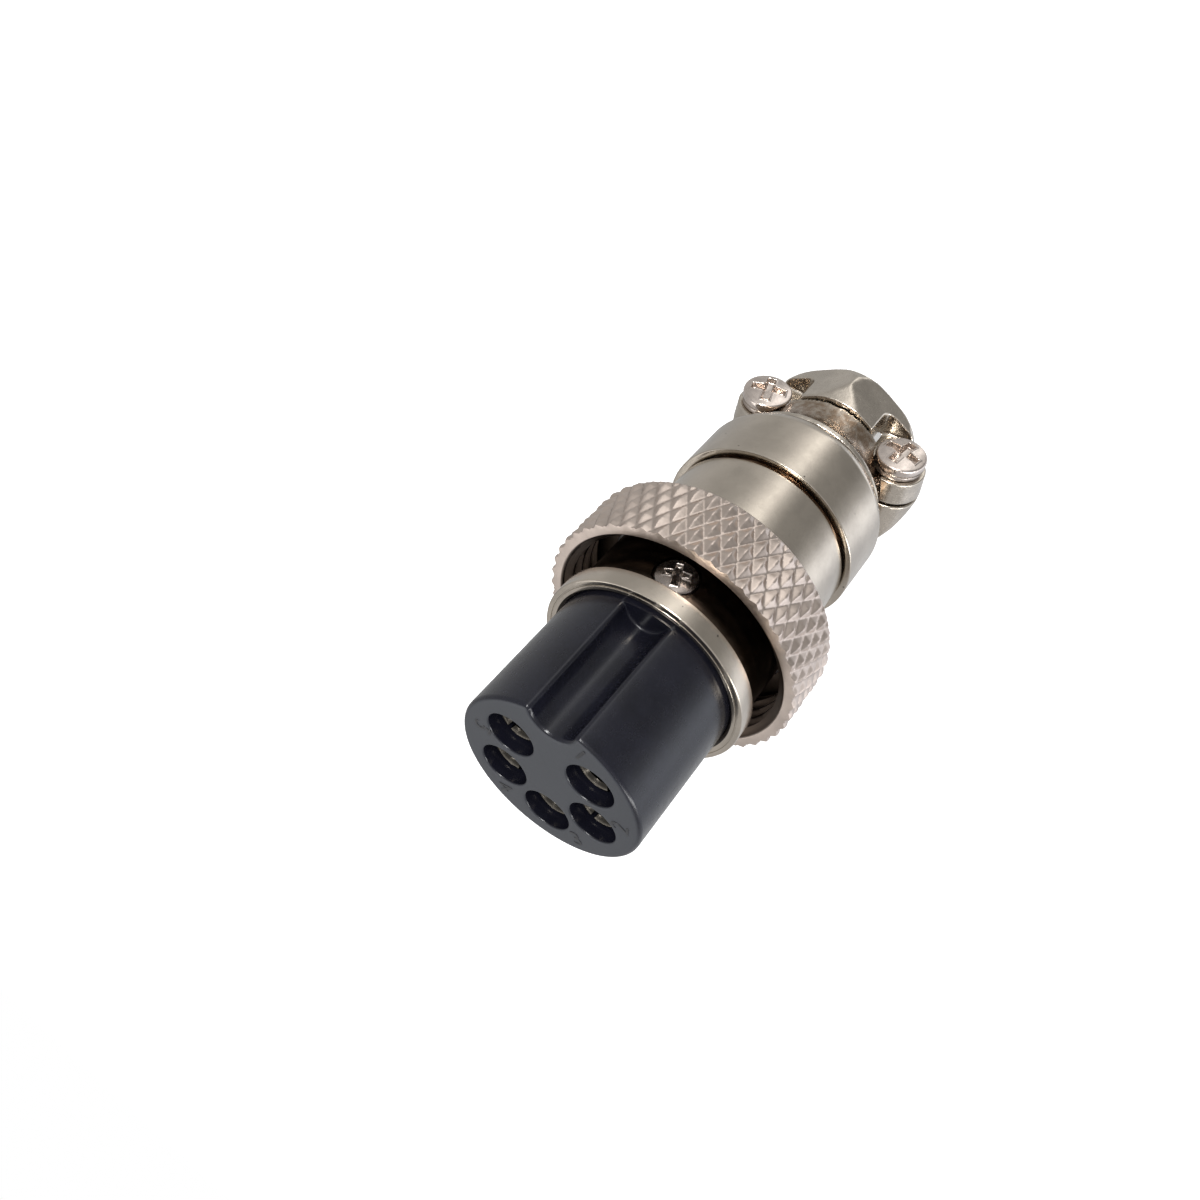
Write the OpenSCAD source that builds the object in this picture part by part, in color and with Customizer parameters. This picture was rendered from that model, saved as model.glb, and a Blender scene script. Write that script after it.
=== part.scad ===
// Cable plug of a circular threaded connector with five socket contacts.
// The origin is the centre of the tail face, and +Z runs to the mating face.
// The keyway, the insert screw and the loose half of the clamp face +X.

/* [Insert] */
// Diameter of the moulded insert where it enters the receptacle
insert_d = 13; // [12.6:0.1:13.2]
// Length of the insert in front of the shell
insert_reach = 9.85; // [8:0.05:12]
// Rounding of the insert's front edge
insert_edge_r = 0.35; // [0.15:0.05:0.6]
// Depth to which the wide part of the insert enters the shell
insert_seat = 1.6; // [1:0.1:2]
// Step from the insert's nose down to its rear body
insert_step = 0.7; // [0.6:0.05:0.9]
// Length of the insert inside the shell
insert_depth = 7; // [6.4:0.1:8]
// Radius of the round keyway along the insert
key_r = 1.55; // [1.2:0.05:1.7]
// Rounding of the keyway's two long edges
key_edge_r = 0.35; // [0.2:0.05:0.45]
// Length of full insert between the keyway and the shell
key_stop = 0.3; // [0.2:0.05:1.5]

/* [Contacts] */
// Distance of the contacts from the axis, as a share of the rear body's radius
contact_place = 0.626; // [0.61:0.002:0.64]
// Angle from one contact to the next, in degrees
contact_step = 64.5; // [60:0.5:66]
// Diameter of the lead-in holes in the insert's face
contact_hole_d = 3.3; // [3:0.05:3.4]
// Bore of a contact, which is the diameter of the mating pin
pin_d = 2; // [1.6:0.05:2.1]
// Wall of a contact's spring sleeve
contact_wall = 0.4; // [0.25:0.05:0.45]
// How far a contact's mouth lies behind the insert's face
contact_setback = 1; // [0.6:0.1:3]
// Depth of a contact's bore
contact_bore_len = 7; // [5:0.1:7.5]
// Width of the slits that make the sleeve a spring
contact_slit = 0.3; // [0.2:0.05:0.4]
// Diameter of a contact's shank, held in the insert
contact_shank_d = 2.9; // [2.5:0.05:2.9]
// Length of the solder cup behind the insert
cup_len = 5; // [3:0.1:5.5]
// Bore of the solder cup
cup_bore_d = 1.7; // [1.4:0.1:1.9]

/* [Shell] */
// Wall of the shell's barrel round the insert's rear body
shell_wall = 1.05; // [1:0.01:1.2]
// Length of the shell from its collar shoulder to its mouth
shell_len = 14.85; // [14:0.05:18]
// Height of the flange at the shell's mouth over the barrel
band_rise = 0.57; // [0.4:0.01:0.8]
// Length of that flange
band_len = 1.45; // [0.8:0.05:2]
// Step from the barrel down to the shell's rear thread
shell_thread_step = 0.53; // [0.45:0.01:0.65]
// Length of the shell's rear thread
shell_thread_len = 3.45; // [2.5:0.05:3.45]
// Wall of the shell's rear end, round the soldered cores
wire_bore_wall = 0.95; // [0.85:0.05:1.3]

/* [Coupling ring] */
// Wall of the ring from the thread's root to the knurl's points
ring_wall = 1; // [0.85:0.05:1.5]
// Length of the ring
ring_len = 5.15; // [4.5:0.05:8]
// Distance from the collar to the ring's rear face
ring_stand = 6.85; // [2:0.05:7]
// Points of the knurl in one row round the ring
knurl_count = 48; // [36:2:60]
// Height of the knurl's points
knurl_depth = 0.34; // [0.15:0.01:0.45]
// Angle between the knurl's grooves and the axis
knurl_angle = 30; // [25:1:40]
// Room between the barrel and the crests of the ring's thread
coupling_room = 1.12; // [1:0.02:1.4]
// Depth of the ring's thread
coupling_thread = 0.5; // [0.4:0.05:0.65]
// Thickness of the ring's inner lip
lip_len = 0.95; // [0.7:0.05:1.5]

/* [Collar] */
// Height of the rear collar over the barrel
collar_rise = 0.45; // [0.3:0.01:0.7]
// Length of the rear collar
collar_len = 5.55; // [5.55:0.05:7]
// Groove left open between the collar and the barrel
collar_gap = 0.35; // [0.2:0.05:0.6]
// Length of the long chamfer at the collar's rear
collar_taper_len = 1.1; // [0.6:0.05:1.5]
// Inward rise of that chamfer
collar_taper = 0.43; // [0.2:0.01:0.5]
// Thickness of the wall that holds the clamp
collar_wall = 1; // [0.8:0.05:1.3]
// Depth of the recess round the clamp's base
collar_recess = 0.5; // [0.3:0.05:0.7]

/* [Clamp] */
// Step from the collar down to the flats of the clamp's hexagon
clamp_step = 1.83; // [1.6:0.01:1.95]
// Wall between the cable's bore and the hexagon's flats
clamp_wall = 1.5; // [1.4:0.05:2]
// Length of the clamp's hexagon
clamp_len = 4.05; // [3.8:0.05:4.4]
// Length from the tail face to the collar
neck_len = 8.9; // [8.6:0.05:11]
// Wall of the neck at its waist
neck_wall = 1.2; // [1.1:0.05:1.4]
// Step from the collar's edge down to the neck's flared rim
flare_step = 1; // [0.9:0.05:1.2]
// Gap left between the flared rim and the collar
flare_gap = 0.7; // [0.4:0.05:0.9]
// Gap between the two halves of the clamp
clamp_gap = 0.3; // [0.2:0.05:0.8]
// Distance of each clamp screw's axis outside the hexagon's side flat
ear_out = 0.11; // [0:0.01:0.3]
// Distance from the tail face to the clamp screws
ear_z = 3.93; // [3.7:0.01:4.2]
// Radius of the ears round the clamp screws
ear_r = 2.2; // [2.05:0.05:2.3]
// Height of the loose half's ears above the gap
ear_h = 1.9; // [1.5:0.05:2.2]
// Inner wall of the pocket beside a screw head, measured from the screw's axis
pocket_y = 2.66; // [2.4:0.02:2.8]
// Tail-side wall of that pocket, measured from the screw's axis
pocket_z = 2.75; // [2.4:0.05:2.9]

/* [Screws] */
// Thread diameter of the screws
screw_d = 1.9; // [1.8:0.05:2]
// Head diameter of the clamp screws
clamp_head_d = 3.75; // [3.4:0.05:3.9]
// Height of a clamp screw's head to the edge of its dome
clamp_head_h = 0.75; // [0.6:0.05:1]
// Height of the dome on every screw head
dome_h = 0.28; // [0.15:0.01:0.35]
// Length of the clamp screws under the head
clamp_screw_len = 4.6; // [4:0.1:4.9]
// Depth of the threaded holes in the fixed half
screw_hole_depth = 2.9; // [2.7:0.1:3.2]
// Thickness of the spring washers
washer_h = 0.4; // [0.3:0.05:0.5]
// Outside diameter of the spring washers
washer_d = 3.6; // [3.2:0.1:3.7]
// Head diameter of the insert screw
insert_head_d = 2.8; // [2.6:0.05:3.1]
// Height of the insert screw's head
insert_head_h = 0.34; // [0.25:0.01:0.4]
// Depth of the spot face for the insert screw's head
spot_depth = 0.45; // [0.35:0.01:0.5]
// Length of the insert screw under the head
insert_screw_len = 3.6; // [3:0.1:4]

/* [Fits] */
// Radial play between pieces that turn or slide in each other
run_fit = 0.06; // [0.04:0.01:0.1]
// Radial play between pieces that stay together
seat_fit = 0.03; // [0.02:0.01:0.06]
// Radial room round the barrel for the loose coupling ring
ring_fit = 0.12; // [0.08:0.01:0.2]
// Open room round heads, ears and other free pieces
free_room = 0.3; // [0.2:0.05:0.4]

/* [Hidden] */
$fn = 96;
eps = 0.01;

// radii of the insert and of the turned pieces round it
insert_r = insert_d / 2;
insert_body_r = insert_r - insert_step;
contact_at = insert_body_r * contact_place;
barrel_r = insert_body_r + seat_fit + shell_wall;
band_r = barrel_r + band_rise;
shell_thread_r = barrel_r - shell_thread_step;
wire_bore_r = shell_thread_r - wire_bore_wall;
coupling_minor_r = barrel_r + coupling_room;
coupling_major_r = coupling_minor_r + coupling_thread;
ring_tip_r = coupling_major_r + ring_wall;
collar_r = barrel_r + collar_rise;
outside = 2 * ring_tip_r;

// radii of the clamp
hex_flat = collar_r - clamp_step;
hex_r = hex_flat / cos(30);
cable_r = hex_flat - clamp_wall;
waist_r = cable_r + neck_wall;
flare_r = collar_r - flare_step;
spigot_r = flare_r - 0.83;
base_r = flare_r + 0.07;
ear_y = hex_flat + ear_out;

// heights along the axis, from the tail face
z_collar = neck_len;
z_collar_top = z_collar + collar_len;
z_shell = z_collar_top + collar_gap;
z_mouth = z_shell + shell_len;
z_face = z_mouth + insert_reach;
z_band = z_mouth - band_len;
z_seat = z_mouth - insert_seat;
z_insert = z_mouth - insert_depth;
z_wall = z_collar + collar_recess;
z_wall_top = z_wall + collar_wall;
z_ring = z_collar_top + ring_stand;
z_screw = z_band - insert_head_d / 2 - 0.12;

// distances across the clamp, along +X
x_split = 0.3;
x_saddle = x_split + clamp_gap;
x_ear = x_saddle + ear_h;
x_head = x_ear + washer_h;

contact_r = pin_d / 2 + contact_wall;
thread_clear_r = shell_thread_r + run_fit;
contact_first = 180 - 2 * contact_step;

// centre of the keyway, and of the rounding between its wall and the insert's side
key_x = insert_r - 0.05;
key_edge_x = (pow(insert_r - key_edge_r, 2) - pow(key_r + key_edge_r, 2) + key_x * key_x) / (2 * key_x);
key_edge_y = sqrt(pow(insert_r - key_edge_r, 2) - key_edge_x * key_edge_x);

// points of a circular arc in the plane of a profile
function arc(cx, cy, r, a0, a1, n) =
    [for (i = [0:n]) [cx + r * cos(a0 + (a1 - a0) * i / n), cy + r * sin(a0 + (a1 - a0) * i / n)]];

// outline of the neck: waist, flared rim, groove below the collar, base in the collar's recess
function neck_profile() =
    let (z_waist = clamp_len + 0.7, z_rim = z_collar - flare_gap)
    concat(
        [[0, clamp_len - 0.3]],
        [for (i = [0:4]) [
            waist_r + 0.25 * pow(1 - i / 4, 2),
            clamp_len - 0.3 + (z_waist - clamp_len + 0.3) * i / 4
        ]],
        [for (i = [1:10]) [
            waist_r + (flare_r - 0.08 - waist_r) * (1 - pow(cos(90 * i / 10), 0.7)),
            z_waist + (z_rim - 0.5 - z_waist) * i / 10
        ]],
        [
            [flare_r, z_rim - 0.4],
            [flare_r, z_rim - 0.12],
            [flare_r - 0.12, z_rim],
            [flare_r - 0.42, z_rim],
            [flare_r - 0.42, z_collar + 0.05],
            [base_r, z_collar + 0.05],
            [base_r, z_wall - run_fit],
            [0, z_wall - run_fit]
        ]
    );

// outline of the fixed half seen along the axis, for y > 0: it rounds the ears off downwards
function ear_plan() =
    let (
        x0 = x_split + 1,
        r = norm([1, ear_y + ear_r]),
        a = 128,
        r2 = 0.42 * r,
        c = [x0 + (r - r2) * cos(a), (r - r2) * sin(a)]
    )
    concat(
        [[x_split, 0]],
        arc(x0, 0, r, 180 - atan(ear_y + ear_r), a, 8),
        arc(c[0], c[1], r2, a + 6, 188, 8),
        [[c[0] - r2, 0]]
    );

// outline that rounds the hexagon's tail end and chamfers its corners at the neck
function hex_trim_profile() = [
    [0, 0],
    [hex_r - 1, 0],
    [hex_r - 0.7, 0.12],
    [hex_r - 0.42, 0.45],
    [hex_r - 0.15, 1.2],
    [hex_r, 2.2],
    [hex_r, clamp_len - 1.6],
    [hex_r - 0.75, clamp_len],
    [0, clamp_len]
];

// a shape drawn upright, laid along +X through a clamp screw's axis
module at_ear(side) {
    translate([0, side * ear_y, ear_z])
        rotate([0, 90, 0])
            children();
}

// cross recess, sunk from the top of a head of height top
module cross_recess(width, span, depth, top) {
    for (turn = [0, 90])
        rotate([0, 0, turn])
            translate([-span / 2, -width / 2, top - depth])
                cube([span, width, depth + 1]);
    translate([0, 0, top - depth * 1.3])
        cylinder(r1 = width * 0.4, r2 = width * 0.9, h = depth * 1.3 + eps);
}

// pan-head screw that stands on z = 0, with its shank below
module pan_screw(head_d, head_h, length, recess_span) {
    difference() {
        union() {
            translate([0, 0, -length])
                cylinder(d = screw_d, h = length + eps);
            translate([0, 0, -length - 0.25])
                cylinder(d1 = screw_d - 0.6, d2 = screw_d, h = 0.25);
            cylinder(d = head_d, h = head_h);
            translate([0, 0, head_h])
                cylinder(d1 = head_d - 0.06, d2 = head_d * 0.62, h = dome_h);
        }
        cross_recess(recess_span * 0.27, recess_span, 0.5 * (head_h + dome_h), head_h + dome_h);
    }
}

module hexagon_half(side) {
    intersection() {
        cylinder(r = hex_r, h = clamp_len, $fn = 6);
        rotate_extrude()
            polygon(hex_trim_profile());
        translate([side > 0 ? x_saddle : x_split - outside, -outside / 2, -1])
            cube([outside, outside, clamp_len + 2]);
    }
}

module insert_blank() {
    e = insert_edge_r;
    rotate_extrude()
        polygon(concat(
            [
                [0, z_insert + seat_fit],
                [insert_body_r, z_insert + seat_fit],
                [insert_body_r, z_seat + seat_fit],
                [insert_r, z_seat + seat_fit]
            ],
            arc(insert_r - e, z_face - e, e, 0, 90, 6),
            [[0, z_face]]
        ));
}

// section of the keyway's cutter: a round groove whose two edges are rounded over
module keyway_section() {
    to_key = atan2(key_edge_y, key_edge_x - key_x);
    to_side = atan2(key_edge_y, key_edge_x);
    polygon(concat(
        [[insert_r + 1, -key_edge_y]],
        arc(key_edge_x, -key_edge_y, key_edge_r, -to_side, 180 - to_key, 6),
        arc(key_x, 0, key_r, 360 - to_key, to_key, 24),
        arc(key_edge_x, key_edge_y, key_edge_r, to_key + 180, to_side + 360, 6),
        [[insert_r + 1, key_edge_y]]
    ));
}

module place_contact(i) {
    rotate([0, 0, -(contact_first + contact_step * (i - 1))])
        translate([contact_at, 0, 0])
            children();
}

module socket_insert() {
    z_lead = z_face - contact_setback - contact_bore_len - 0.4;
    z_key = z_mouth + key_stop;
    e = insert_edge_r * 0.6;
    color([0.10, 0.11, 0.13])
        difference() {
            insert_blank();
            translate([0, 0, z_key])
                linear_extrude(height = insert_reach + 1)
                    keyway_section();
            // the front edge of the keyway is broken, as the insert's is
            translate([key_x, 0, z_face - e - 0.1])
                cylinder(r1 = key_r - 0.1, r2 = key_r + e + 0.1, h = e + 0.2);
            for (i = [1:5])
                place_contact(i) {
                    translate([0, 0, z_lead])
                        cylinder(d = contact_hole_d, h = insert_reach + insert_depth);
                    translate([0, 0, z_insert - 1])
                        cylinder(d = contact_shank_d + 2 * seat_fit, h = insert_reach + insert_depth);
                }
            // pilot hole of the insert screw
            translate([barrel_r - spot_depth - insert_screw_len - 0.4, 0, z_screw])
                rotate([0, 90, 0])
                    cylinder(d = screw_d + 2 * seat_fit, h = outside);
        }
}

// turned socket contact: spring sleeve, shank, stop flange and solder cup
module contact(i) {
    z_tip = z_face - contact_setback;
    z_floor = z_tip - contact_bore_len;
    z_stop = z_insert - 0.4;
    z_cup = z_stop - cup_len;
    color([0.78, 0.76, 0.70])
        place_contact(i)
            difference() {
                union() {
                    translate([0, 0, z_floor - 0.4])
                        cylinder(r = contact_r, h = contact_bore_len + 0.4);
                    translate([0, 0, z_stop])
                        cylinder(d = contact_shank_d, h = z_floor - 0.4 - z_stop);
                    translate([0, 0, z_stop])
                        cylinder(d = contact_shank_d + 0.36, h = 0.4);
                    translate([0, 0, z_cup])
                        cylinder(d = cup_bore_d + 0.8, h = cup_len + eps);
                }
                translate([0, 0, z_floor])
                    cylinder(d = pin_d, h = contact_bore_len + 1);
                translate([0, 0, z_tip - 0.25])
                    cylinder(d1 = pin_d, d2 = pin_d + 0.5, h = 0.25 + eps);
                translate([-contact_slit / 2, -3, z_floor + 1.2])
                    cube([contact_slit, 6, contact_bore_len]);
                translate([0, 0, z_cup - eps])
                    cylinder(d = cup_bore_d, h = cup_len * 0.75);
                // the cup is cut open on its outer side
                translate([0.1, -3, z_cup - 1])
                    cube([3, 6, cup_len * 0.5 + 1]);
            }
}

module insert_screw() {
    color([0.80, 0.78, 0.74])
        translate([barrel_r - spot_depth + seat_fit, 0, z_screw])
            rotate([0, 90, 0])
                rotate([0, 0, 20])
                    pan_screw(insert_head_d, insert_head_h, insert_screw_len, 1.9);
}

module plug_shell() {
    rt = shell_thread_r;
    color([0.74, 0.70, 0.64])
        difference() {
            rotate_extrude()
                polygon([
                    [wire_bore_r, z_shell - shell_thread_len],
                    [rt - 0.35, z_shell - shell_thread_len],
                    [rt, z_shell - shell_thread_len + 0.35],
                    [rt, z_shell],
                    [barrel_r - 0.1, z_shell],
                    [barrel_r, z_shell + 0.1],
                    [barrel_r, z_band],
                    [band_r - 0.12, z_band],
                    [band_r, z_band + 0.12],
                    [band_r, z_mouth - 0.12],
                    [band_r - 0.12, z_mouth],
                    [insert_r + seat_fit + 0.2, z_mouth],
                    [insert_r + seat_fit, z_mouth - 0.2],
                    [insert_r + seat_fit, z_seat],
                    [insert_body_r + seat_fit, z_seat],
                    [insert_body_r + seat_fit, z_insert],
                    [wire_bore_r, z_insert]
                ]);
            // spot face and hole of the insert screw
            translate([barrel_r - spot_depth, 0, z_screw])
                rotate([0, 90, 0])
                    cylinder(d = insert_head_d + free_room, h = outside);
            translate([0, 0, z_screw])
                rotate([0, 90, 0])
                    cylinder(d = screw_d + free_room, h = outside);
        }
}

// solid whose surface is a diamond knurl: every second point of each row is a tip
module knurled_core(tip_r, depth, count, angle, height) {
    half_step = 180 / count;
    row_h = tip_r * half_step * PI / 180 / tan(angle);
    rows = ceil(height / row_h) + 1;
    cols = 2 * count;
    points = [for (j = [0:rows], k = [0:cols - 1])
        let (r = (j + k) % 2 == 0 ? tip_r : tip_r - depth)
        [r * cos(k * half_step), r * sin(k * half_step), j * row_h]];
    function at(j, k) = j * cols + k % cols;
    sides = [for (j = [0:rows - 1], k = [0:cols - 1], half = [0, 1])
        (j + k) % 2 == 0
            ? (half == 0
                ? [at(j, k), at(j + 1, k), at(j, k + 1)]
                : [at(j + 1, k), at(j + 1, k + 1), at(j, k + 1)])
            : (half == 0
                ? [at(j, k), at(j + 1, k + 1), at(j, k + 1)]
                : [at(j, k), at(j + 1, k), at(j + 1, k + 1)])];
    bottom = [[for (k = [0:cols - 1]) at(0, k)]];
    top = [[for (k = [cols - 1:-1:0]) at(rows, k)]];
    polyhedron(points, concat(bottom, sides, top));
}

module coupling_ring() {
    tip_r = ring_tip_r;
    root_r = tip_r - knurl_depth;
    major_r = coupling_major_r;
    minor_r = coupling_minor_r;
    color([0.80, 0.74, 0.69])
        translate([0, 0, z_ring])
            difference() {
                intersection() {
                    translate([0, 0, -0.3])
                        knurled_core(tip_r, knurl_depth, knurl_count, knurl_angle, ring_len + 0.6);
                    rotate_extrude()
                        polygon([
                            [0, 0],
                            [root_r - 0.1, 0],
                            [tip_r + 0.1, knurl_depth + 0.2],
                            [tip_r + 0.1, ring_len],
                            [0, ring_len]
                        ]);
                }
                // lip bore, thread run-out, thread and lead-in
                rotate_extrude()
                    polygon([
                        [0, -1],
                        [barrel_r + ring_fit, -1],
                        [barrel_r + ring_fit, lip_len],
                        [major_r, lip_len],
                        [major_r, lip_len + 0.45],
                        [minor_r, lip_len + 0.45 + (major_r - minor_r) * 0.6],
                        [minor_r, ring_len - (major_r - minor_r) * 0.8],
                        [major_r, ring_len],
                        [major_r, ring_len + 1],
                        [0, ring_len + 1]
                    ]);
            }
}

module rear_collar() {
    ro = collar_r;
    color([0.76, 0.71, 0.64])
        rotate_extrude()
            polygon(concat(
                [
                    [base_r + free_room, z_collar],
                    [ro - collar_taper, z_collar]
                ],
                [for (i = [1:4]) [
                    ro - collar_taper * pow(1 - i / 4, 1.5),
                    z_collar + collar_taper_len * i / 4
                ]],
                [
                    [ro, z_collar_top - 0.1],
                    [ro - 0.1, z_collar_top],
                    [thread_clear_r + 0.25, z_collar_top],
                    [thread_clear_r, z_collar_top - 0.25],
                    [thread_clear_r, z_wall_top],
                    [spigot_r + run_fit, z_wall_top],
                    [spigot_r + run_fit, z_wall],
                    [base_r + free_room, z_wall]
                ]
            ));
}

// one ear of the fixed half: a boss rounded off downwards by the clamp's outline
module fixed_ear(side) {
    intersection() {
        at_ear(side)
            translate([0, 0, x_split - outside])
                cylinder(r = ear_r, h = outside);
        linear_extrude(height = ear_z + ear_r)
            mirror([0, side > 0 ? 0 : 1, 0])
                polygon(ear_plan());
    }
}

module clamp_body() {
    color([0.76, 0.73, 0.68])
        difference() {
            union() {
                rotate_extrude()
                    polygon(neck_profile());
                hexagon_half(-1);
                for (side = [-1, 1])
                    fixed_ear(side);
                // spigot through the collar's wall, flared over inside it
                translate([0, 0, z_wall - run_fit - eps])
                    cylinder(r = spigot_r, h = collar_wall + 2 * run_fit + 2 * eps);
                translate([0, 0, z_wall_top + run_fit])
                    cylinder(r = spigot_r + 0.55, h = 0.3);
                translate([0, 0, z_wall_top + run_fit + 0.3])
                    cylinder(r1 = spigot_r + 0.55, r2 = spigot_r + 0.25, h = 0.15);
            }
            translate([0, 0, -1])
                cylinder(r = cable_r, h = outside);
            translate([0, 0, z_wall])
                cylinder(r1 = cable_r, r2 = cable_r + 0.8, h = 0.8);
            translate([0, 0, z_wall + 0.8 - eps])
                cylinder(r = cable_r + 0.8, h = outside);
            // the loose half takes the place of the neck's lower part above the gap
            translate([x_split, -outside / 2, -1])
                cube([outside, outside, clamp_len + 1 + seat_fit * 4]);
            for (side = [-1, 1])
                at_ear(side) {
                    // room in the neck for the screw head, its washer and the shank
                    translate([0, 0, x_ear - clamp_gap])
                        cylinder(r = clamp_head_d / 2 + free_room / 2, h = outside);
                    translate([0, 0, x_split])
                        cylinder(d = screw_d + free_room, h = outside);
                    translate([0, 0, x_split - screw_hole_depth])
                        cylinder(d = screw_d + 2 * run_fit, h = screw_hole_depth + 1);
                }
        }
}

// room beside a screw head: straight walls towards the hexagon and the tail, one rounded corner
module head_pocket(side) {
    y0 = ear_y - pocket_y;
    z0 = ear_z - pocket_z;
    translate([x_ear, 0, 0])
        rotate([90, 0, 90])
            mirror([side > 0 ? 0 : 1, 0, 0])
                linear_extrude(height = outside)
                    polygon(concat(
                        arc(y0 + 0.9, z0 + 0.9, 0.9, 180, 270, 6),
                        [[outside, z0], [outside, outside], [y0, outside]]
                    ));
}

module clamp_saddle() {
    color([0.78, 0.75, 0.70])
        difference() {
            union() {
                hexagon_half(1);
                for (side = [-1, 1])
                    at_ear(side)
                        translate([0, 0, x_saddle])
                            cylinder(r1 = ear_r, r2 = ear_r - 0.12, h = ear_h);
            }
            translate([0, 0, -1])
                cylinder(r = cable_r, h = outside);
            // the neck passes in front of the ears
            translate([0, 0, clamp_len])
                cylinder(r = waist_r + 0.45, h = outside);
            for (side = [-1, 1])
                head_pocket(side);
            for (side = [-1, 1])
                at_ear(side)
                    cylinder(d = screw_d + free_room, h = outside);
        }
}

// split spring washer under a clamp screw's head
module lock_washer(side) {
    color([0.70, 0.69, 0.67])
        at_ear(side)
            translate([0, 0, x_ear])
                difference() {
                    cylinder(d = washer_d, h = washer_h);
                    translate([0, 0, -1])
                        cylinder(d = screw_d + 0.25, h = washer_h + 2);
                    rotate([0, 0, side * 60])
                        translate([0, -0.15, -1])
                            cube([washer_d, 0.3, washer_h + 2]);
                }
}

module clamp_screw(side) {
    color([0.84, 0.80, 0.77])
        at_ear(side)
            translate([0, 0, x_head])
                rotate([0, 0, side * 12])
                    pan_screw(clamp_head_d, clamp_head_h, clamp_screw_len, clamp_head_d * 0.7);
}

socket_insert();
contact(1);  // contact_1
contact(2);  // contact_2
contact(3);  // contact_3
contact(4);  // contact_4
contact(5);  // contact_5
insert_screw();
plug_shell();
coupling_ring();
rear_collar();
clamp_body();
clamp_saddle();
lock_washer(1);  // lock_washer_left
lock_washer(-1);  // lock_washer_right
clamp_screw(1);  // clamp_screw_left
clamp_screw(-1);  // clamp_screw_right
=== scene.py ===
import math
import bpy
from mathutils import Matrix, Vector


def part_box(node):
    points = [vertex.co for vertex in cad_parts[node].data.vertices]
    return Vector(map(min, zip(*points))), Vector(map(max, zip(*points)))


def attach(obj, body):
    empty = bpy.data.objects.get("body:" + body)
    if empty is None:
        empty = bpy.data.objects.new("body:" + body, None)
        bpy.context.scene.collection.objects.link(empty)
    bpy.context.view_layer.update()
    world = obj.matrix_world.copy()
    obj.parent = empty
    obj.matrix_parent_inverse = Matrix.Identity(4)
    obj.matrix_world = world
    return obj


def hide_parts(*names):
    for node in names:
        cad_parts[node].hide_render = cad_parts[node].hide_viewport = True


bl_info = {
    "name": "Threaded cable plug",
    "version": (1, 0, 0),
    "blender": (4, 5, 0),
    "location": "View3D > Sidebar > Cable plug",
    "description": "Dresses a five-contact threaded cable plug round its packed frame",
    "category": "Object",
}

import bmesh
import bpy
import numpy as np
from bpy.props import FloatProperty, FloatVectorProperty, IntProperty, PointerProperty
from mathutils import Matrix, Vector

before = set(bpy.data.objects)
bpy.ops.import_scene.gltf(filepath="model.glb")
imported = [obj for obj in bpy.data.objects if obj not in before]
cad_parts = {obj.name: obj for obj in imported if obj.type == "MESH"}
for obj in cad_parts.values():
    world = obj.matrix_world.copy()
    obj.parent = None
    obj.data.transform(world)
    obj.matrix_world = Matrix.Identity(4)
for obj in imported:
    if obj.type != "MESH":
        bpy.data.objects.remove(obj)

MM = 0.001
TAU = 2 * math.pi


def span(node):
    """Lowest and highest corner of a frame node, in millimetres."""
    low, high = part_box(node)
    return [v / MM for v in low], [v / MM for v in high]


RING_LOW, RING_HIGH = span("coupling_ring")
SHELL_LOW, SHELL_HIGH = span("plug_shell")
COLLAR_LOW, COLLAR_HIGH = span("rear_collar")
INSERT_LOW, INSERT_HIGH = span("socket_insert")
SADDLE_LOW = span("clamp_saddle")[0]
CONTACT_TOP = span("contact_1")[1][2]


class PlugRingSettings(bpy.types.PropertyGroup):
    """Sizes of the coupling ring and its knurl, in millimetres."""

    points: IntProperty(
        name="Knurl points", description="Points of the knurl in one row round the ring",
        default=48, min=24, max=72)
    depth: FloatProperty(
        name="Knurl depth", description="Height of the knurl's points, in mm",
        default=0.34, min=0.1, max=0.5)
    rise: FloatProperty(
        name="Knurl pitch", description="Length of one knurl diamond along the axis, in mm",
        default=2.06, min=1.0, max=4.0)
    pitch: FloatProperty(
        name="Thread pitch", description="Pitch of the coupling thread, in mm",
        default=1.0, min=0.5, max=1.5)
    color: FloatVectorProperty(
        name="Plate colour", description="Colour of the ring's pearl nickel plate",
        subtype="COLOR", size=3, default=(0.56, 0.475, 0.415), min=0, max=1)


class PlugShellSettings(bpy.types.PropertyGroup):
    """Sizes and colour of the turned shell and the rear collar."""

    pitch: FloatProperty(
        name="Rear thread pitch", description="Pitch of the shell's rear thread, in mm",
        default=0.75, min=0.4, max=1.2)
    color: FloatVectorProperty(
        name="Plate colour", description="Colour of the satin nickel plate",
        subtype="COLOR", size=3, default=(0.50, 0.445, 0.375), min=0, max=1)


class PlugInsertSettings(bpy.types.PropertyGroup):
    """Sizes and colour of the moulded insert."""

    key_radius: FloatProperty(
        name="Keyway radius", description="Radius of the keyway's round floor, in mm",
        default=1.55, min=1.0, max=1.8)
    edge: FloatProperty(
        name="Edge rounding", description="Rounding of the insert's front edge, in mm",
        default=0.33, min=0.1, max=0.5)
    hole: FloatProperty(
        name="Hole diameter", description="Diameter of the lead-in holes, in mm",
        default=3.3, min=2.5, max=3.5)
    color: FloatVectorProperty(
        name="Plastic colour", description="Colour of the moulded plastic",
        subtype="COLOR", size=3, default=(0.005, 0.0052, 0.009), min=0, max=1)


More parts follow.
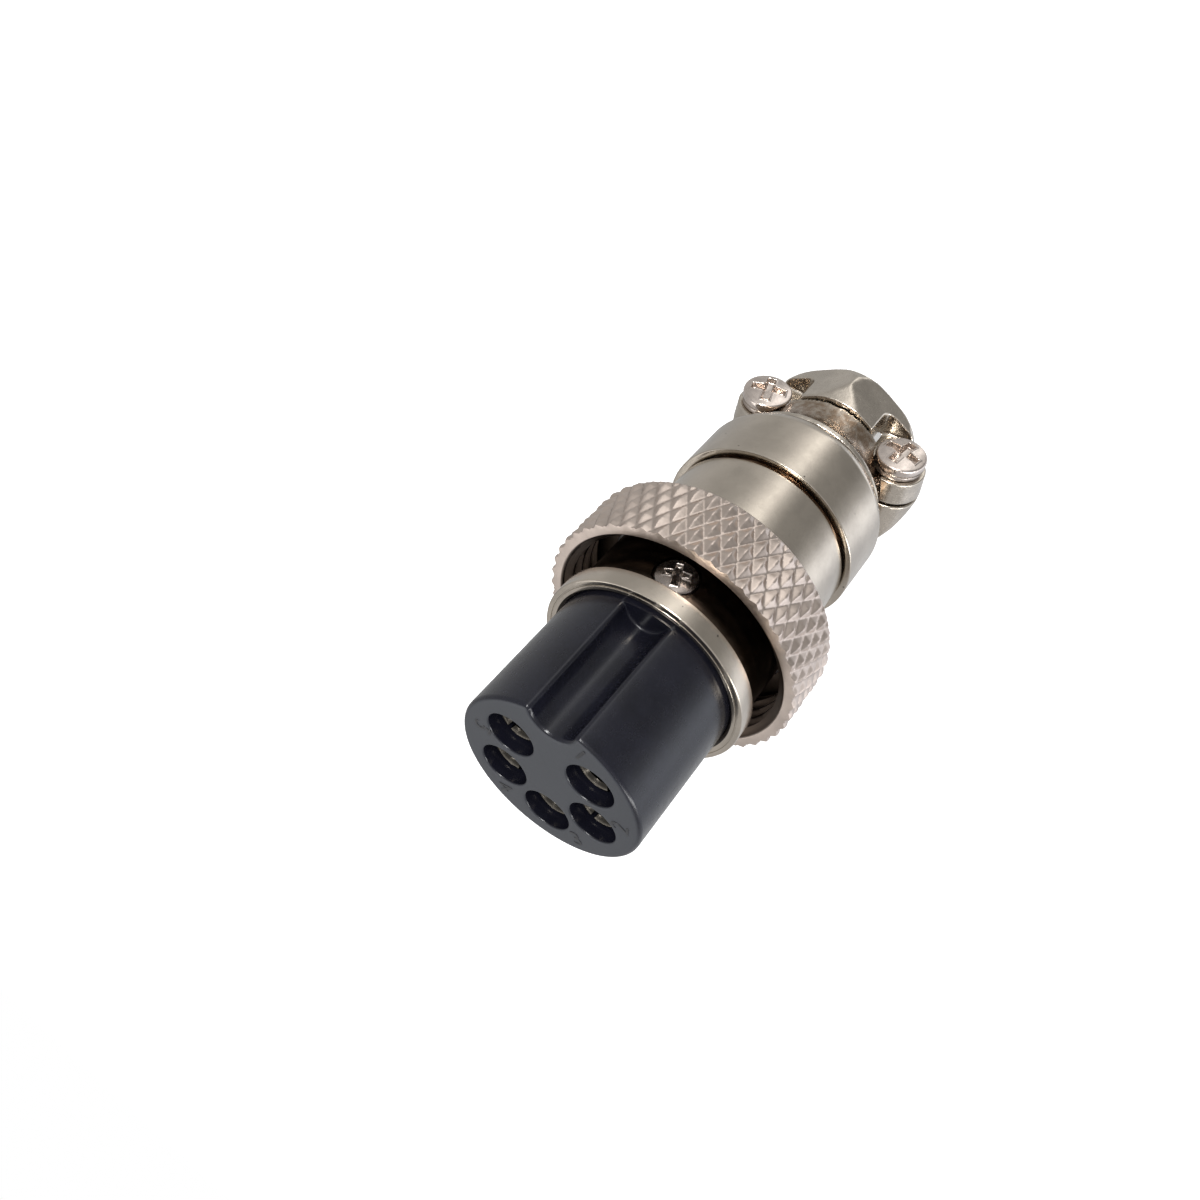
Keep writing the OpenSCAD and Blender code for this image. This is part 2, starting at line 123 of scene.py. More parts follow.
class PlugClampSettings(bpy.types.PropertyGroup):
    """Sizes and colours of the cast clamp and its screws."""

    fillet: FloatProperty(
        name="Casting fillet", description="Fillet where the cast shapes meet, in mm",
        default=0.28, min=0.05, max=0.6)
    grit: FloatProperty(
        name="Casting grit", description="Unevenness of the cast skin, in mm",
        default=0.012, min=0.0, max=0.05)
    color: FloatVectorProperty(
        name="Plate colour", description="Colour of the plated casting",
        subtype="COLOR", size=3, default=(0.53, 0.475, 0.405), min=0, max=1)
    screw_color: FloatVectorProperty(
        name="Screw colour", description="Colour of the bright plated screws",
        subtype="COLOR", size=3, default=(0.62, 0.545, 0.49), min=0, max=1)


class PlugStageSettings(bpy.types.PropertyGroup):
    """Light levels of the stage."""

    tent: FloatProperty(
        name="Tent light", description="Level of the pale light tent round the plug",
        default=0.62, min=0, max=2)
    key: FloatProperty(
        name="Key lamp", description="Power of the narrow key lamp, in watts",
        default=0.9, min=0, max=10)


# ---------------------------------------------------------------- meshes

def mesh_from_grid(points, close_rows, close_columns):
    """Quads over a grid of points (rows, columns, 3), in mm; each direction may close on itself."""
    rows, columns = points.shape[:2]
    index = np.arange(rows * columns).reshape(rows, columns)
    if close_rows:
        index = np.vstack([index, index[:1]])
    if close_columns:
        index = np.hstack([index, index[:, :1]])
    quads = np.stack([index[:-1, :-1], index[:-1, 1:], index[1:, 1:], index[1:, :-1]], -1)
    return points.reshape(-1, 3), quads.reshape(-1, 4)


def make_mesh(name, points, faces):
    """A mesh from points in mm and faces as an index array or a list of index tuples."""
    me = bpy.data.meshes.new(name)
    rows = [tuple(f) for f in np.asarray(faces).tolist()] if isinstance(faces, np.ndarray) else faces
    me.from_pydata((np.asarray(points) * MM).tolist(), [], rows)
    me.update()
    return me


def finish_mesh(me, angle=32):
    """Merges doubles, turns faces outwards, shades smooth and marks edges over the angle sharp."""
    bm = bmesh.new()
    bm.from_mesh(me)
    bmesh.ops.remove_doubles(bm, verts=bm.verts, dist=0.002 * MM)
    bmesh.ops.dissolve_degenerate(bm, edges=bm.edges, dist=0.0005 * MM)
    bmesh.ops.recalc_face_normals(bm, faces=bm.faces)
    bm.to_mesh(me)
    bm.free()
    me.polygons.foreach_set("use_smooth", np.ones(len(me.polygons), bool))
    me.set_sharp_from_angle(angle=math.radians(angle))
    me.update()


def add_piece(name, me, material, body, nodes=(), angle=32):
    """Links a finished mesh as a piece that rides on a body and stands for frame nodes."""
    finish_mesh(me, angle)
    ob = bpy.data.objects.new(name, me)
    bpy.context.scene.collection.objects.link(ob)
    me.materials.clear()
    me.materials.append(material)
    weighted = ob.modifiers.new("weighted", "WEIGHTED_NORMAL")
    weighted.keep_sharp = True
    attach(ob, body)
    if nodes:
        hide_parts(*nodes)
    return ob


def cut(me, cutter):
    """The first mesh less the second, by an exact boolean."""
    scene = bpy.context.scene
    a = bpy.data.objects.new("cut_base", me)
    b = bpy.data.objects.new("cut_tool", cutter)
    scene.collection.objects.link(a)
    scene.collection.objects.link(b)
    mod = a.modifiers.new("cut", "BOOLEAN")
    mod.operation = "DIFFERENCE"
    mod.solver = "EXACT"
    mod.object = b
    bpy.context.view_layer.update()
    got = bpy.data.meshes.new_from_object(a.evaluated_get(bpy.context.evaluated_depsgraph_get()))
    bpy.data.objects.remove(a)
    bpy.data.objects.remove(b)
    if len(got.polygons) < 8:
        raise RuntimeError("a cut left no mesh")
    return got


def outwards(me):
    """Turns the faces of a closed mesh outwards."""
    bm = bmesh.new()
    bm.from_mesh(me)
    bmesh.ops.remove_doubles(bm, verts=bm.verts, dist=0.0005 * MM)
    bmesh.ops.recalc_face_normals(bm, faces=bm.faces)
    bm.to_mesh(me)
    bm.free()
    return me


def rounded(corners, arc=5, closed=True):
    """Outline through corners (a, b, radius). A corner with a radius becomes an arc tangent to its sides."""
    out = []
    n = len(corners)
    for i, (a, b, radius) in enumerate(corners):
        here = np.array([a, b], float)
        if radius <= 0 or (not closed and i in (0, n - 1)):
            out.append(here)
            continue
        p = np.array(corners[i - 1][:2], float) - here
        q = np.array(corners[(i + 1) % n][:2], float) - here
        lp, lq = np.linalg.norm(p), np.linalg.norm(q)
        p, q = p / lp, q / lq
        half = math.acos(float(np.clip(p @ q, -1, 1))) / 2
        if half > 1.5:
            out.append(here)
            continue
        back = min(radius / math.tan(half), 0.48 * lp, 0.48 * lq)
        r = back * math.tan(half)
        middle = here + (p + q) / np.linalg.norm(p + q) * r / math.sin(half)
        start, end = here + p * back - middle, here + q * back - middle
        a0 = math.atan2(start[1], start[0])
        a1 = math.atan2(end[1], end[0])
        turn = (a1 - a0 + math.pi) % TAU - math.pi
        for k in range(arc + 1):
            t = a0 + turn * k / arc
            out.append(middle + r * np.array([math.cos(t), math.sin(t)]))
    return np.array(out)


def refined(outline, step, closed=True):
    """The outline with extra points, so that no side is longer than the step."""
    ring = np.vstack([outline, outline[:1]]) if closed else outline
    out = []
    for a, b in zip(ring[:-1], ring[1:]):
        count = max(1, int(math.ceil(np.linalg.norm(b - a) / step)))
        out.append(a + (b - a) * (np.arange(count) / count)[:, None])
    if not closed:
        out.append(ring[-1:])
    return np.vstack(out)


def fine_where(outline, step, test):
    """The outline's own points, and between them the points of its refined form where test(r, z) holds."""
    fine = refined(outline, step)
    own = {tuple(np.round(p, 6)) for p in outline}
    keep = test(fine[:, 0], fine[:, 1])
    return np.array([p for p, k in zip(fine, keep) if k or tuple(np.round(p, 6)) in own])


def turned(name, profile, steps, shape=None):
    """Closed turned solid. A profile point (r, z) at angle t lies at (r cos t, r sin t, z), and
    shape(t, r, z) may change r."""
    t = np.arange(steps) * TAU / steps
    r = np.repeat(profile[:, :1], steps, 1)
    z = np.repeat(profile[:, 1:2], steps, 1)
    tt = np.repeat(t[None, :], len(profile), 0)
    if shape is not None:
        r = shape(tt, r, z)
    grid = np.stack([r * np.cos(tt), r * np.sin(tt), z], -1)
    return make_mesh(name, *mesh_from_grid(grid, True, True))


def ridge(t, z, pitch):
    """Right-hand thread ridge, 0 in the root and 1 on the crest: a triangle wave of
    z / pitch - t / 2 pi with flat ends."""
    phase = (z / pitch - t / TAU) % 1.0
    return np.clip(1.35 - np.abs(phase - 0.5) * 3.4, 0, 1)


def smooth_step(x, low, high):
    """0 below low, 1 above high, and a soft S between them."""
    u = np.clip((x - low) / (high - low), 0, 1)
    return u * u * (3 - 2 * u)


def closed_tube(sections):
    """Solid through closed sections, shape (rows, columns, 3): quads between rows and a fan over each end."""
    points, quads = mesh_from_grid(sections, False, True)
    rows, columns = sections.shape[:2]
    low, high = len(points), len(points) + 1
    points = np.vstack([points, sections[0].mean(0)[None], sections[-1].mean(0)[None]])
    k = np.arange(columns)
    fan0 = np.stack([np.full(columns, low), (k + 1) % columns, k], 1)
    last = (rows - 1) * columns
    fan1 = np.stack([np.full(columns, high), last + k, last + (k + 1) % columns], 1)
    return points, [tuple(f) for f in quads.tolist()] + [tuple(f) for f in np.vstack([fan0, fan1]).tolist()]


# ---------------------------------------------------------------- fields

def field_mesh(name, field, low, high, cell):
    """Mesh of the surface where a field is 0 (negative inside). Each mixed cell gets one point, at the
    mean of its edge crossings, and each crossed grid edge one quad. Three Newton steps then pull the
    points onto the surface."""
    axes = [np.arange(low[i], high[i] + cell, cell) for i in range(3)]
    nx, ny, nz = map(len, axes)
    x, y, z = np.meshgrid(*axes, indexing="ij")
    f = field(x, y, z).astype(np.float32)
    inside = f < 0
    total = np.zeros((nx - 1, ny - 1, nz - 1), np.uint8)
    for a in (0, 1):
        for b in (0, 1):
            for c in (0, 1):
                total += inside[a:nx - 1 + a, b:ny - 1 + b, c:nz - 1 + c]
    active = (total > 0) & (total < 8)
    ids = np.full(active.shape, -1, np.int64)
    cells = np.argwhere(active)
    ids[active] = np.arange(len(cells))
    sums = np.zeros((len(cells), 3))
    counts = np.zeros(len(cells))
    corner = [(a, b, c) for a in (0, 1) for b in (0, 1) for c in (0, 1)]
    for p in corner:
        for axis in range(3):
            if p[axis]:
                continue
            q = list(p)
            q[axis] = 1
            i0 = tuple((cells + p).T)
            i1 = tuple((cells + q).T)
            f0, f1 = f[i0], f[i1]
            crossed = (f0 < 0) != (f1 < 0)
            share = np.where(crossed, f0 / np.where(f0 == f1, 1, f0 - f1), 0)
            at = np.tile(np.array(p, float), (len(cells), 1))
            at[:, axis] += share
            sums += at * crossed[:, None]
            counts += crossed
    points = np.array(low) + (cells + sums / counts[:, None]) * cell
    quads = []
    for axis in range(3):
        u, v = [(1, 2), (2, 0), (0, 1)][axis]
        step = np.zeros(3, int)
        step[axis] = 1
        first = inside[:nx - step[0], :ny - step[1], :nz - step[2]]
        second = inside[step[0]:, step[1]:, step[2]:]
        edge = np.argwhere(first != second)
        shape = np.array(active.shape)
        good = (edge[:, u] > 0) & (edge[:, v] > 0) & (edge[:, u] < shape[u]) & (edge[:, v] < shape[v])
        edge = edge[good]
        corners = []
        for du, dv in ((1, 1), (0, 1), (0, 0), (1, 0)):
            c = edge.copy()
            c[:, u] -= du
            c[:, v] -= dv
            corners.append(ids[tuple(c.T)])
        quad = np.stack(corners, 1)
        turn = ~first[tuple(edge.T)]
        quad[turn] = quad[turn][:, ::-1]
        quads.append(quad)
    quads = np.vstack(quads)
    h = cell * 0.05
    for _ in range(3):
        px, py, pz = points.T
        f0 = field(px, py, pz)
        g = np.stack([
            field(px + h, py, pz) - field(px - h, py, pz),
            field(px, py + h, pz) - field(px, py - h, pz),
            field(px, py, pz + h) - field(px, py, pz - h)], 1) / (2 * h)
        move = -f0[:, None] * g / np.maximum((g * g).sum(1), 0.2)[:, None]
        points = points + np.clip(move, -cell * 0.4, cell * 0.4)
    return make_mesh(name, points, quads)


def both(a, b, r=0.06):
    """Overlap of two fields, with the edge between them rounded by r."""
    h = np.maximum(r - np.abs(a - b), 0) / r
    return np.maximum(a, b) + h * h * r * 0.25


def joined(a, b, r=0.28):
    """Union of two fields, with a fillet of about r between them."""
    h = np.maximum(r - np.abs(a - b), 0) / r
    return np.minimum(a, b) - h * h * r * 0.25


def outline_field(outline, low, high, step=0.04):
    """Signed distance to a closed flat outline, worked out on a fine table and read between its points."""
    aa = np.arange(low[0], high[0] + step, step)
    bb = np.arange(low[1], high[1] + step, step)
    a, b = np.meshgrid(aa, bb, indexing="ij")
    best = np.full(a.shape, 1e9)
    odd = np.zeros(a.shape, bool)
    ring = np.vstack([outline, outline[:1]])
    for (a0, b0), (a1, b1) in zip(ring[:-1], ring[1:]):
        da, db = a1 - a0, b1 - b0
        u = np.clip(((a - a0) * da + (b - b0) * db) / max(da * da + db * db, 1e-12), 0, 1)
        best = np.minimum(best, (a - a0 - u * da) ** 2 + (b - b0 - u * db) ** 2)
        if b0 != b1:
            odd ^= ((b < b0) != (b < b1)) & (a < a0 + (b - b0) * da / db)
    table = np.where(odd, -1, 1) * np.sqrt(best)

    def read(a, b):
        aa_ = np.clip((a - low[0]) / step, 0, table.shape[0] - 1.001)
        bb_ = np.clip((b - low[1]) / step, 0, table.shape[1] - 1.001)
        i, j = aa_.astype(int), bb_.astype(int)
        u, v = aa_ - i, bb_ - j
        return (table[i, j] * (1 - u) * (1 - v) + table[i + 1, j] * u * (1 - v)
                + table[i, j + 1] * (1 - u) * v + table[i + 1, j + 1] * u * v)

    return read


def turned_field(outline, low, high):
    """Field of a turned shape: the outline's field read at (distance from the axis, height)."""
    flat = outline_field(outline, low, high)
    return lambda x, y, z: flat(np.hypot(x, y), z)


def grit(x, y, z, seed, size):
    """Uneven skin in about -1..1: nine sine waves in fixed random directions, about size mm long."""
    rng = np.random.default_rng(seed)
    total = 0
    for k in range(9):
        d = rng.normal(size=3)
        d *= TAU / (size * rng.uniform(0.5, 1.8)) / np.linalg.norm(d)
        total = total + np.sin(d[0] * x + d[1] * y + d[2] * z + rng.uniform(0, TAU))
    return total / 5


# ---------------------------------------------------------------- materials

class Finish:
    """Builds one procedural material on Object coordinates, in millimetres."""

    def __init__(self, name):
        self.material = bpy.data.materials.new(name)
        self.material.use_nodes = True
        self.tree = self.material.node_tree
        self.shader = self.tree.nodes["Principled BSDF"]
        where = self.tree.nodes.new("ShaderNodeTexCoord")
        scale = self.tree.nodes.new("ShaderNodeVectorMath")
        scale.operation = "SCALE"
        scale.inputs["Scale"].default_value = 1000
        self.link(where.outputs["Object"], scale.inputs[0])
        self.place = scale.outputs[0]
        split = self.tree.nodes.new("ShaderNodeSeparateXYZ")
        self.link(self.place, split.inputs[0])
        self.x, self.y, self.z = split.outputs
        flat = self.tree.nodes.new("ShaderNodeVectorMath")
        flat.operation = "MULTIPLY"
        flat.inputs[1].default_value = (1, 1, 0)
        self.link(self.place, flat.inputs[0])
        size = self.tree.nodes.new("ShaderNodeVectorMath")
        size.operation = "LENGTH"
        self.link(flat.outputs[0], size.inputs[0])
        self.r = size.outputs["Value"]

    def link(self, a, b):
        self.tree.links.new(a, b)

    def set(self, name, value):
        """A shader socket set to a constant or fed by another socket."""
        socket = self.shader.inputs[name]
        if isinstance(value, bpy.types.NodeSocket):
            self.link(value, socket)
        else:
            socket.default_value = value
        return self

    def math(self, operation, a, b=0.0):
        node = self.tree.nodes.new("ShaderNodeMath")
        node.operation = operation
        for socket, value in zip(node.inputs, (a, b)):
            if isinstance(value, bpy.types.NodeSocket):
                self.link(value, socket)
            else:
                socket.default_value = value
        return node.outputs[0]

    def stretched(self, factors):
        node = self.tree.nodes.new("ShaderNodeVectorMath")
        node.operation = "MULTIPLY"
        node.inputs[1].default_value = factors
        self.link(self.place, node.inputs[0])
        return node.outputs[0]

    def noise(self, scale, detail=3.0, rough=0.55, vector=None):
        node = self.tree.nodes.new("ShaderNodeTexNoise")
        node.inputs["Scale"].default_value = scale
        node.inputs["Detail"].default_value = detail
        node.inputs["Roughness"].default_value = rough
        self.link(vector or self.place, node.inputs["Vector"])
        return node.outputs["Fac"]

    def spots(self, scale, size, vector=None):
        """1 in small round spots, 0 elsewhere."""
        node = self.tree.nodes.new("ShaderNodeTexVoronoi")
        node.inputs["Scale"].default_value = scale
        self.link(vector or self.place, node.inputs["Vector"])
        return self.ramp(node.outputs["Distance"], size, size * 0.4)

    def ramp(self, value, low, high, to_low=0.0, to_high=1.0):
        node = self.tree.nodes.new("ShaderNodeMapRange")
        node.interpolation_type = "SMOOTHSTEP"
        self.link(value, node.inputs["Value"])
        node.inputs["From Min"].default_value = low
        node.inputs["From Max"].default_value = high
        node.inputs["To Min"].default_value = to_low
        node.inputs["To Max"].default_value = to_high
        return node.outputs["Result"]

    def mix(self, share, a, b):
        """Colour a at share 0 and b at share 1."""
        node = self.tree.nodes.new("ShaderNodeMix")
        node.data_type = "RGBA"
        for socket, value in zip((node.inputs[0], node.inputs[6], node.inputs[7]), (share, a, b)):
            if isinstance(value, bpy.types.NodeSocket):
                self.link(value, socket)
            elif isinstance(value, (int, float)):
                socket.default_value = value
            else:
                socket.default_value = (*value[:3], 1)
        return node.outputs[2]

    def bump(self, height, depth, strength=1.0, before=None):
        """Bump of a height in 0..1 that stands for depth mm."""
        node = self.tree.nodes.new("ShaderNodeBump")
        node.inputs["Strength"].default_value = strength
        node.inputs["Distance"].default_value = depth * MM
        self.link(height, node.inputs["Height"])
        if before is not None:
            self.link(before, node.inputs["Normal"])
        return node.outputs["Normal"]


def shade(color, factor):
    return tuple(min(1.0, c * factor) for c in color[:3])


def satin_nickel(name, color, thread_low=None, thread_high=None, thread_r=None, painted_ring_shade=None):
    """Turned satin nickel: fine lines round the axis, slow mottling, a few pits, and brown in a thread that is
    partly tarnish and partly painted shade.
    Between the two heights of the last argument, the plate is painted dark as the shade of the coupling ring."""
    f = Finish(name)
    slow = f.noise(0.35, 4)
    fine = f.noise(6, 4)
    base = f.mix(f.ramp(slow, 0.35, 0.65), shade(color, 0.93), shade(color, 1.07))
    base = f.mix(f.ramp(fine, 0.55, 0.72, 0, 0.35), base, shade(color, 0.82))
    pits = f.spots(0.5, 0.045)
    base = f.mix(f.math("MULTIPLY", pits, 0.8), base, (0.03, 0.025, 0.02))
    if thread_low is not None:
        # Brown in the thread: partly tarnish, partly painted shade of the groove it sits in.
        above = f.ramp(f.z, thread_low, thread_low + 0.05)
        tarnish_and_painted_shade = f.math("MULTIPLY", above, f.ramp(f.z, thread_high, thread_high - 0.05))
        tarnish_and_painted_shade = f.math("MULTIPLY", tarnish_and_painted_shade, f.ramp(f.r, thread_r, thread_r - 0.08))
        base = f.mix(tarnish_and_painted_shade, base, (0.20, 0.13, 0.085))
    if painted_ring_shade is not None:
        # Painted shade: between these heights the barrel is painted near black, standing for the ring's shade
        # over it.
        dark = f.math("MULTIPLY", f.ramp(f.z, painted_ring_shade[0], painted_ring_shade[0] + 0.3), f.ramp(f.z, painted_ring_shade[1], painted_ring_shade[1] - 0.15))
        base = f.mix(f.math("MULTIPLY", dark, 0.86), base, (0.055, 0.038, 0.028))
    f.set("Base Color", base)
    f.set("Metallic", 1.0)
    lines = f.noise(1.0, 2, 0.6, f.stretched((0.6, 0.6, 46)))
    f.set("Roughness", f.ramp(f.noise(2.2, 5), 0.3, 0.7, 0.15, 0.22))
    near = f.bump(lines, 0.006, 0.5)
    f.set("Normal", f.bump(f.noise(9, 3), 0.004, 0.5, near))
    return f.material


def pearl_nickel(name, color, bore_r):
    """Pearl nickel on the knurled ring: soft, slightly pink, speckled, and painted dark in the bore as the
    shade inside the ring.
    """
    f = Finish(name)
    slow = f.noise(0.5, 4)
    base = f.mix(f.ramp(slow, 0.35, 0.65), shade(color, 0.92), shade(color, 1.06))
    grain = f.noise(14, 3)
    base = f.mix(f.ramp(grain, 0.55, 0.75, 0, 0.4), base, shade(color, 0.8))
    # Painted shade: the bore is painted near black brown, standing for the shade inside the ring.
    inside = f.ramp(f.r, bore_r + 0.12, bore_r + 0.02)
    base = f.mix(inside, base, (0.085, 0.062, 0.047))
    f.set("Base Color", base)
    f.set("Metallic", 1.0)
    f.set("Roughness", f.ramp(f.noise(5, 4), 0.3, 0.7, 0.28, 0.40))
    f.set("Normal", f.bump(grain, 0.008, 0.7, f.bump(f.noise(30, 2), 0.004, 0.6)))
    return f.material


def cast_nickel(name, color, throat=None):
    """Plated casting: uneven skin, small dents, and brown in the neck's throat that is partly tarnish and
    partly painted shade.
    """
    f = Finish(name)
    slow = f.noise(0.6, 5)
    base = f.mix(f.ramp(slow, 0.35, 0.65), shade(color, 0.9), shade(color, 1.08))
    fine = f.noise(7, 5, 0.6)
    base = f.mix(f.ramp(fine, 0.5, 0.7, 0, 0.5), base, shade(color, 0.74))
    if throat is not None:
        low, high, r = throat
        # Brown in the throat: partly tarnish, partly painted shade of the crevice, in patches.
        tarnish_and_painted_shade = f.math("MULTIPLY", f.ramp(f.z, low, low + 0.6), f.ramp(f.z, high, high - 1.1))
        tarnish_and_painted_shade = f.math("MULTIPLY", tarnish_and_painted_shade, f.ramp(f.r, r, r - 0.7))
        patch = f.ramp(f.noise(1.6, 4), 0.32, 0.6, 0.35, 1.0)
        base = f.mix(f.math("MULTIPLY", tarnish_and_painted_shade, patch), base, (0.26, 0.185, 0.125))
    f.set("Base Color", base)
    f.set("Metallic", 1.0)
    f.set("Roughness", f.ramp(f.noise(3, 5), 0.3, 0.7, 0.17, 0.28))
    f.set("Normal", f.bump(f.noise(3.2, 4, 0.6), 0.03, 0.55, f.bump(fine, 0.01, 0.5)))
    return f.material


def bright_nickel(name, color, dark=1.0, rough=0.16):
    """Bright plated screw steel: smooth, with faint scuffs."""
    f = Finish(name)
    slow = f.noise(1.3, 4)
    base = f.mix(f.ramp(slow, 0.35, 0.65), shade(color, 0.88 * dark), shade(color, 1.05 * dark))
    f.set("Base Color", base)
    f.set("Metallic", 1.0)
    f.set("Roughness", f.ramp(f.noise(4, 5), 0.3, 0.7, rough, rough + 0.12))
    f.set("Normal", f.bump(f.noise(3, 3), 0.02, 0.4, f.bump(f.noise(22, 2), 0.003, 0.5)))
    return f.material


def moulded_plastic(name, color, face_z):
    """Semi-gloss moulded plastic: smooth sides with faint flow lines, and a greyer, matt front face."""
    f = Finish(name)
    slow = f.noise(0.4, 4)
    base = f.mix(f.ramp(slow, 0.35, 0.65), shade(color, 0.85), shade(color, 1.2))
    face = f.ramp(f.z, face_z - 0.12, face_z - 0.03)
    base = f.mix(f.math("MULTIPLY", face, 0.85), base, (0.021, 0.0235, 0.029))
    dust = f.spots(2.2, 0.035)
    base = f.mix(f.math("MULTIPLY", dust, 0.35), base, (0.25, 0.25, 0.27))
    f.set("Base Color", base)
    side = f.ramp(f.noise(1.5, 4), 0.3, 0.7, 0.2, 0.28)
    blend = f.tree.nodes.new("ShaderNodeMix")
    f.link(face, blend.inputs[0])
    f.link(side, blend.inputs[2])
    blend.inputs[3].default_value = 0.46
    f.set("Roughness", blend.outputs[0])
    f.set("Specular IOR Level", f.ramp(f.z, face_z - 0.12, face_z - 0.03, 0.36, 0.5))
    flow = f.noise(1.0, 3, 0.5, f.stretched((2.5, 2.5, 0.15)))
    f.set("Normal", f.bump(flow, 0.01, 0.5, f.bump(f.noise(10, 3), 0.004, 0.6)))
    return f.material


# ---------------------------------------------------------------- stage

class PLUG_OT_stage(bpy.types.Operator):
    """Camera, pale floor, light tent and lamps"""

    bl_idname = "plug.stage"
    bl_label = "Stage"

    def execute(self, context):
        settings = context.scene.plug_stage
        scene = context.scene
        scene.view_settings.view_transform = "Standard"
        cam = bpy.data.cameras.new("camera")
        cam.sensor_width = 36
        cam.lens = 32.17
        cam.clip_start = 0.001
        cam.clip_end = 50
        ob = bpy.data.objects.new("camera", cam)
        scene.collection.objects.link(ob)
        right = Vector((0.0646, -0.8188, -0.5704)).normalized()
        back = Vector((0.7701, -0.3226, 0.5503)).normalized()
        up = back.cross(right).normalized()
        right = up.cross(back)
        ob.matrix_world = Matrix.Translation((0.05565, -0.01784, 0.06599)) @ Matrix(
            (right, up, back)).transposed().to_4x4()
        scene.camera = ob

        me = bpy.data.meshes.new("floor")
        s = 6.0
        me.from_pydata([(-s, -s, 0), (s, -s, 0), (s, s, 0), (-s, s, 0)], [], [(0, 1, 2, 3)])
        floor = bpy.data.objects.new("floor", me)
        scene.collection.objects.link(floor)
        me.materials.append(self.floor_material())
        floor.visible_glossy = False

        world = bpy.data.worlds.new("light_tent")
        scene.world = world
        world.use_nodes = True
        self.tent(world.node_tree, settings.tent)
        for name, azimuth, height, away, wide, tall, power in (
            ("key_strip", -3, 38, 0.30, 0.045, 0.20, settings.key),
            ("side_strip", -101, 25, 0.30, 0.06, 0.25, settings.key * 0.5),
            ("top_soft", 140, 62, 0.45, 0.30, 0.30, settings.key * 0.5),
        ):
            lamp = bpy.data.lights.new(name, "AREA")
            lamp.shape = "RECTANGLE"
            lamp.size = wide
            lamp.size_y = tall
            lamp.energy = power
            at = Vector((
                math.cos(math.radians(height)) * math.cos(math.radians(azimuth)),
                math.cos(math.radians(height)) * math.sin(math.radians(azimuth)),
                math.sin(math.radians(height)))) * away + Vector((0, 0, 0.02))
            lo = bpy.data.objects.new(name, lamp)
            scene.collection.objects.link(lo)
            lo.location = at
            lo.rotation_euler = (Vector((0, 0, 0.02)) - at).to_track_quat("-Z", "Y").to_euler()
        return {"FINISHED"}

    def floor_material(self):
        """White floor: lit matt white that keeps the shadow, topped up to white where the camera sees it."""
        m = bpy.data.materials.new("floor_white")
        m.use_nodes = True
        nt = m.node_tree
        b = nt.nodes["Principled BSDF"]
        b.inputs["Base Color"].default_value = (0.82, 0.82, 0.82, 1)
        b.inputs["Roughness"].default_value = 0.9
        b.inputs["Specular IOR Level"].default_value = 0.1
        b.inputs["Emission Color"].default_value = (1, 1, 1, 1)
        path = nt.nodes.new("ShaderNodeLightPath")
        level = nt.nodes.new("ShaderNodeMath")
        level.operation = "MULTIPLY"
        level.inputs[1].default_value = 0.55
        nt.links.new(path.outputs["Is Camera Ray"], level.inputs[0])
        nt.links.new(level.outputs[0], b.inputs["Emission Strength"])
        return m

    def tent(self, nt, level):
        """World: plain white for the camera; for mirror rays a tent, white to grey round the plug;
        a plain level for all other rays."""
        out = nt.nodes["World Output"]
        plain = nt.nodes["Background"]
        plain.inputs["Color"].default_value = (1, 1, 1, 1)
        plain.inputs["Strength"].default_value = level
        white = nt.nodes.new("ShaderNodeBackground")
        white.inputs["Color"].default_value = (1, 1, 1, 1)
        white.inputs["Strength"].default_value = 1.0
        shown = nt.nodes.new("ShaderNodeBackground")
        shown.inputs["Strength"].default_value = 2.0
        where = nt.nodes.new("ShaderNodeTexCoord")
        split = nt.nodes.new("ShaderNodeSeparateXYZ")
        nt.links.new(where.outputs["Generated"], split.inputs[0])
        angle = nt.nodes.new("ShaderNodeMath")
        angle.operation = "ARCTAN2"
        nt.links.new(split.outputs[1], angle.inputs[0])
        nt.links.new(split.outputs[0], angle.inputs[1])
        share = nt.nodes.new("ShaderNodeMapRange")
        share.inputs["From Min"].default_value = -math.pi
        share.inputs["From Max"].default_value = math.pi
        nt.links.new(angle.outputs[0], share.inputs["Value"])
        ramp = nt.nodes.new("ShaderNodeValToRGB")
        nt.links.new(share.outputs["Result"], ramp.inputs["Fac"])
        stops = [
            (-180, 0.34, 0), (-128, 0.42, 1), (-110, 0.78, 1), (-97, 0.74, 1), (-84, 0.36, 0.5),
            (-62, 0.17, 0),
            (-28, 0.20, 0), (-15, 0.45, 0), (-4, 0.98, 0), (5, 0.66, 0), (20, 0.36, 0), (50, 0.27, 0),
            (90, 0.30, 0), (131, 0.24, 0), (160, 0.30, 0), (180, 0.34, 0)]
        band = ramp.color_ramp
        while len(band.elements) < len(stops):
            band.elements.new(0.5)
        for element, (degrees, value, cold) in zip(band.elements, stops):
            element.position = (degrees + 180) / 360
            element.color = (value, value * (1 + 0.04 * cold), value * (1 + 0.12 * cold), 1)
        rise = nt.nodes.new("ShaderNodeMapRange")
        rise.interpolation_type = "SMOOTHSTEP"
        rise.inputs["From Min"].default_value = 0.05
        rise.inputs["From Max"].default_value = 0.45
        nt.links.new(split.outputs[2], rise.inputs["Value"])
        above = nt.nodes.new("ShaderNodeMix")
        above.data_type = "RGBA"
        above.inputs[7].default_value = (0.30, 0.30, 0.305, 1)
        nt.links.new(rise.outputs["Result"], above.inputs[0])
        nt.links.new(ramp.outputs["Color"], above.inputs[6])
        nt.links.new(above.outputs[2], shown.inputs["Color"])
        path = nt.nodes.new("ShaderNodeLightPath")
        first = nt.nodes.new("ShaderNodeMixShader")
        second = nt.nodes.new("ShaderNodeMixShader")
        nt.links.new(path.outputs["Is Glossy Ray"], first.inputs[0])
        nt.links.new(plain.outputs[0], first.inputs[1])
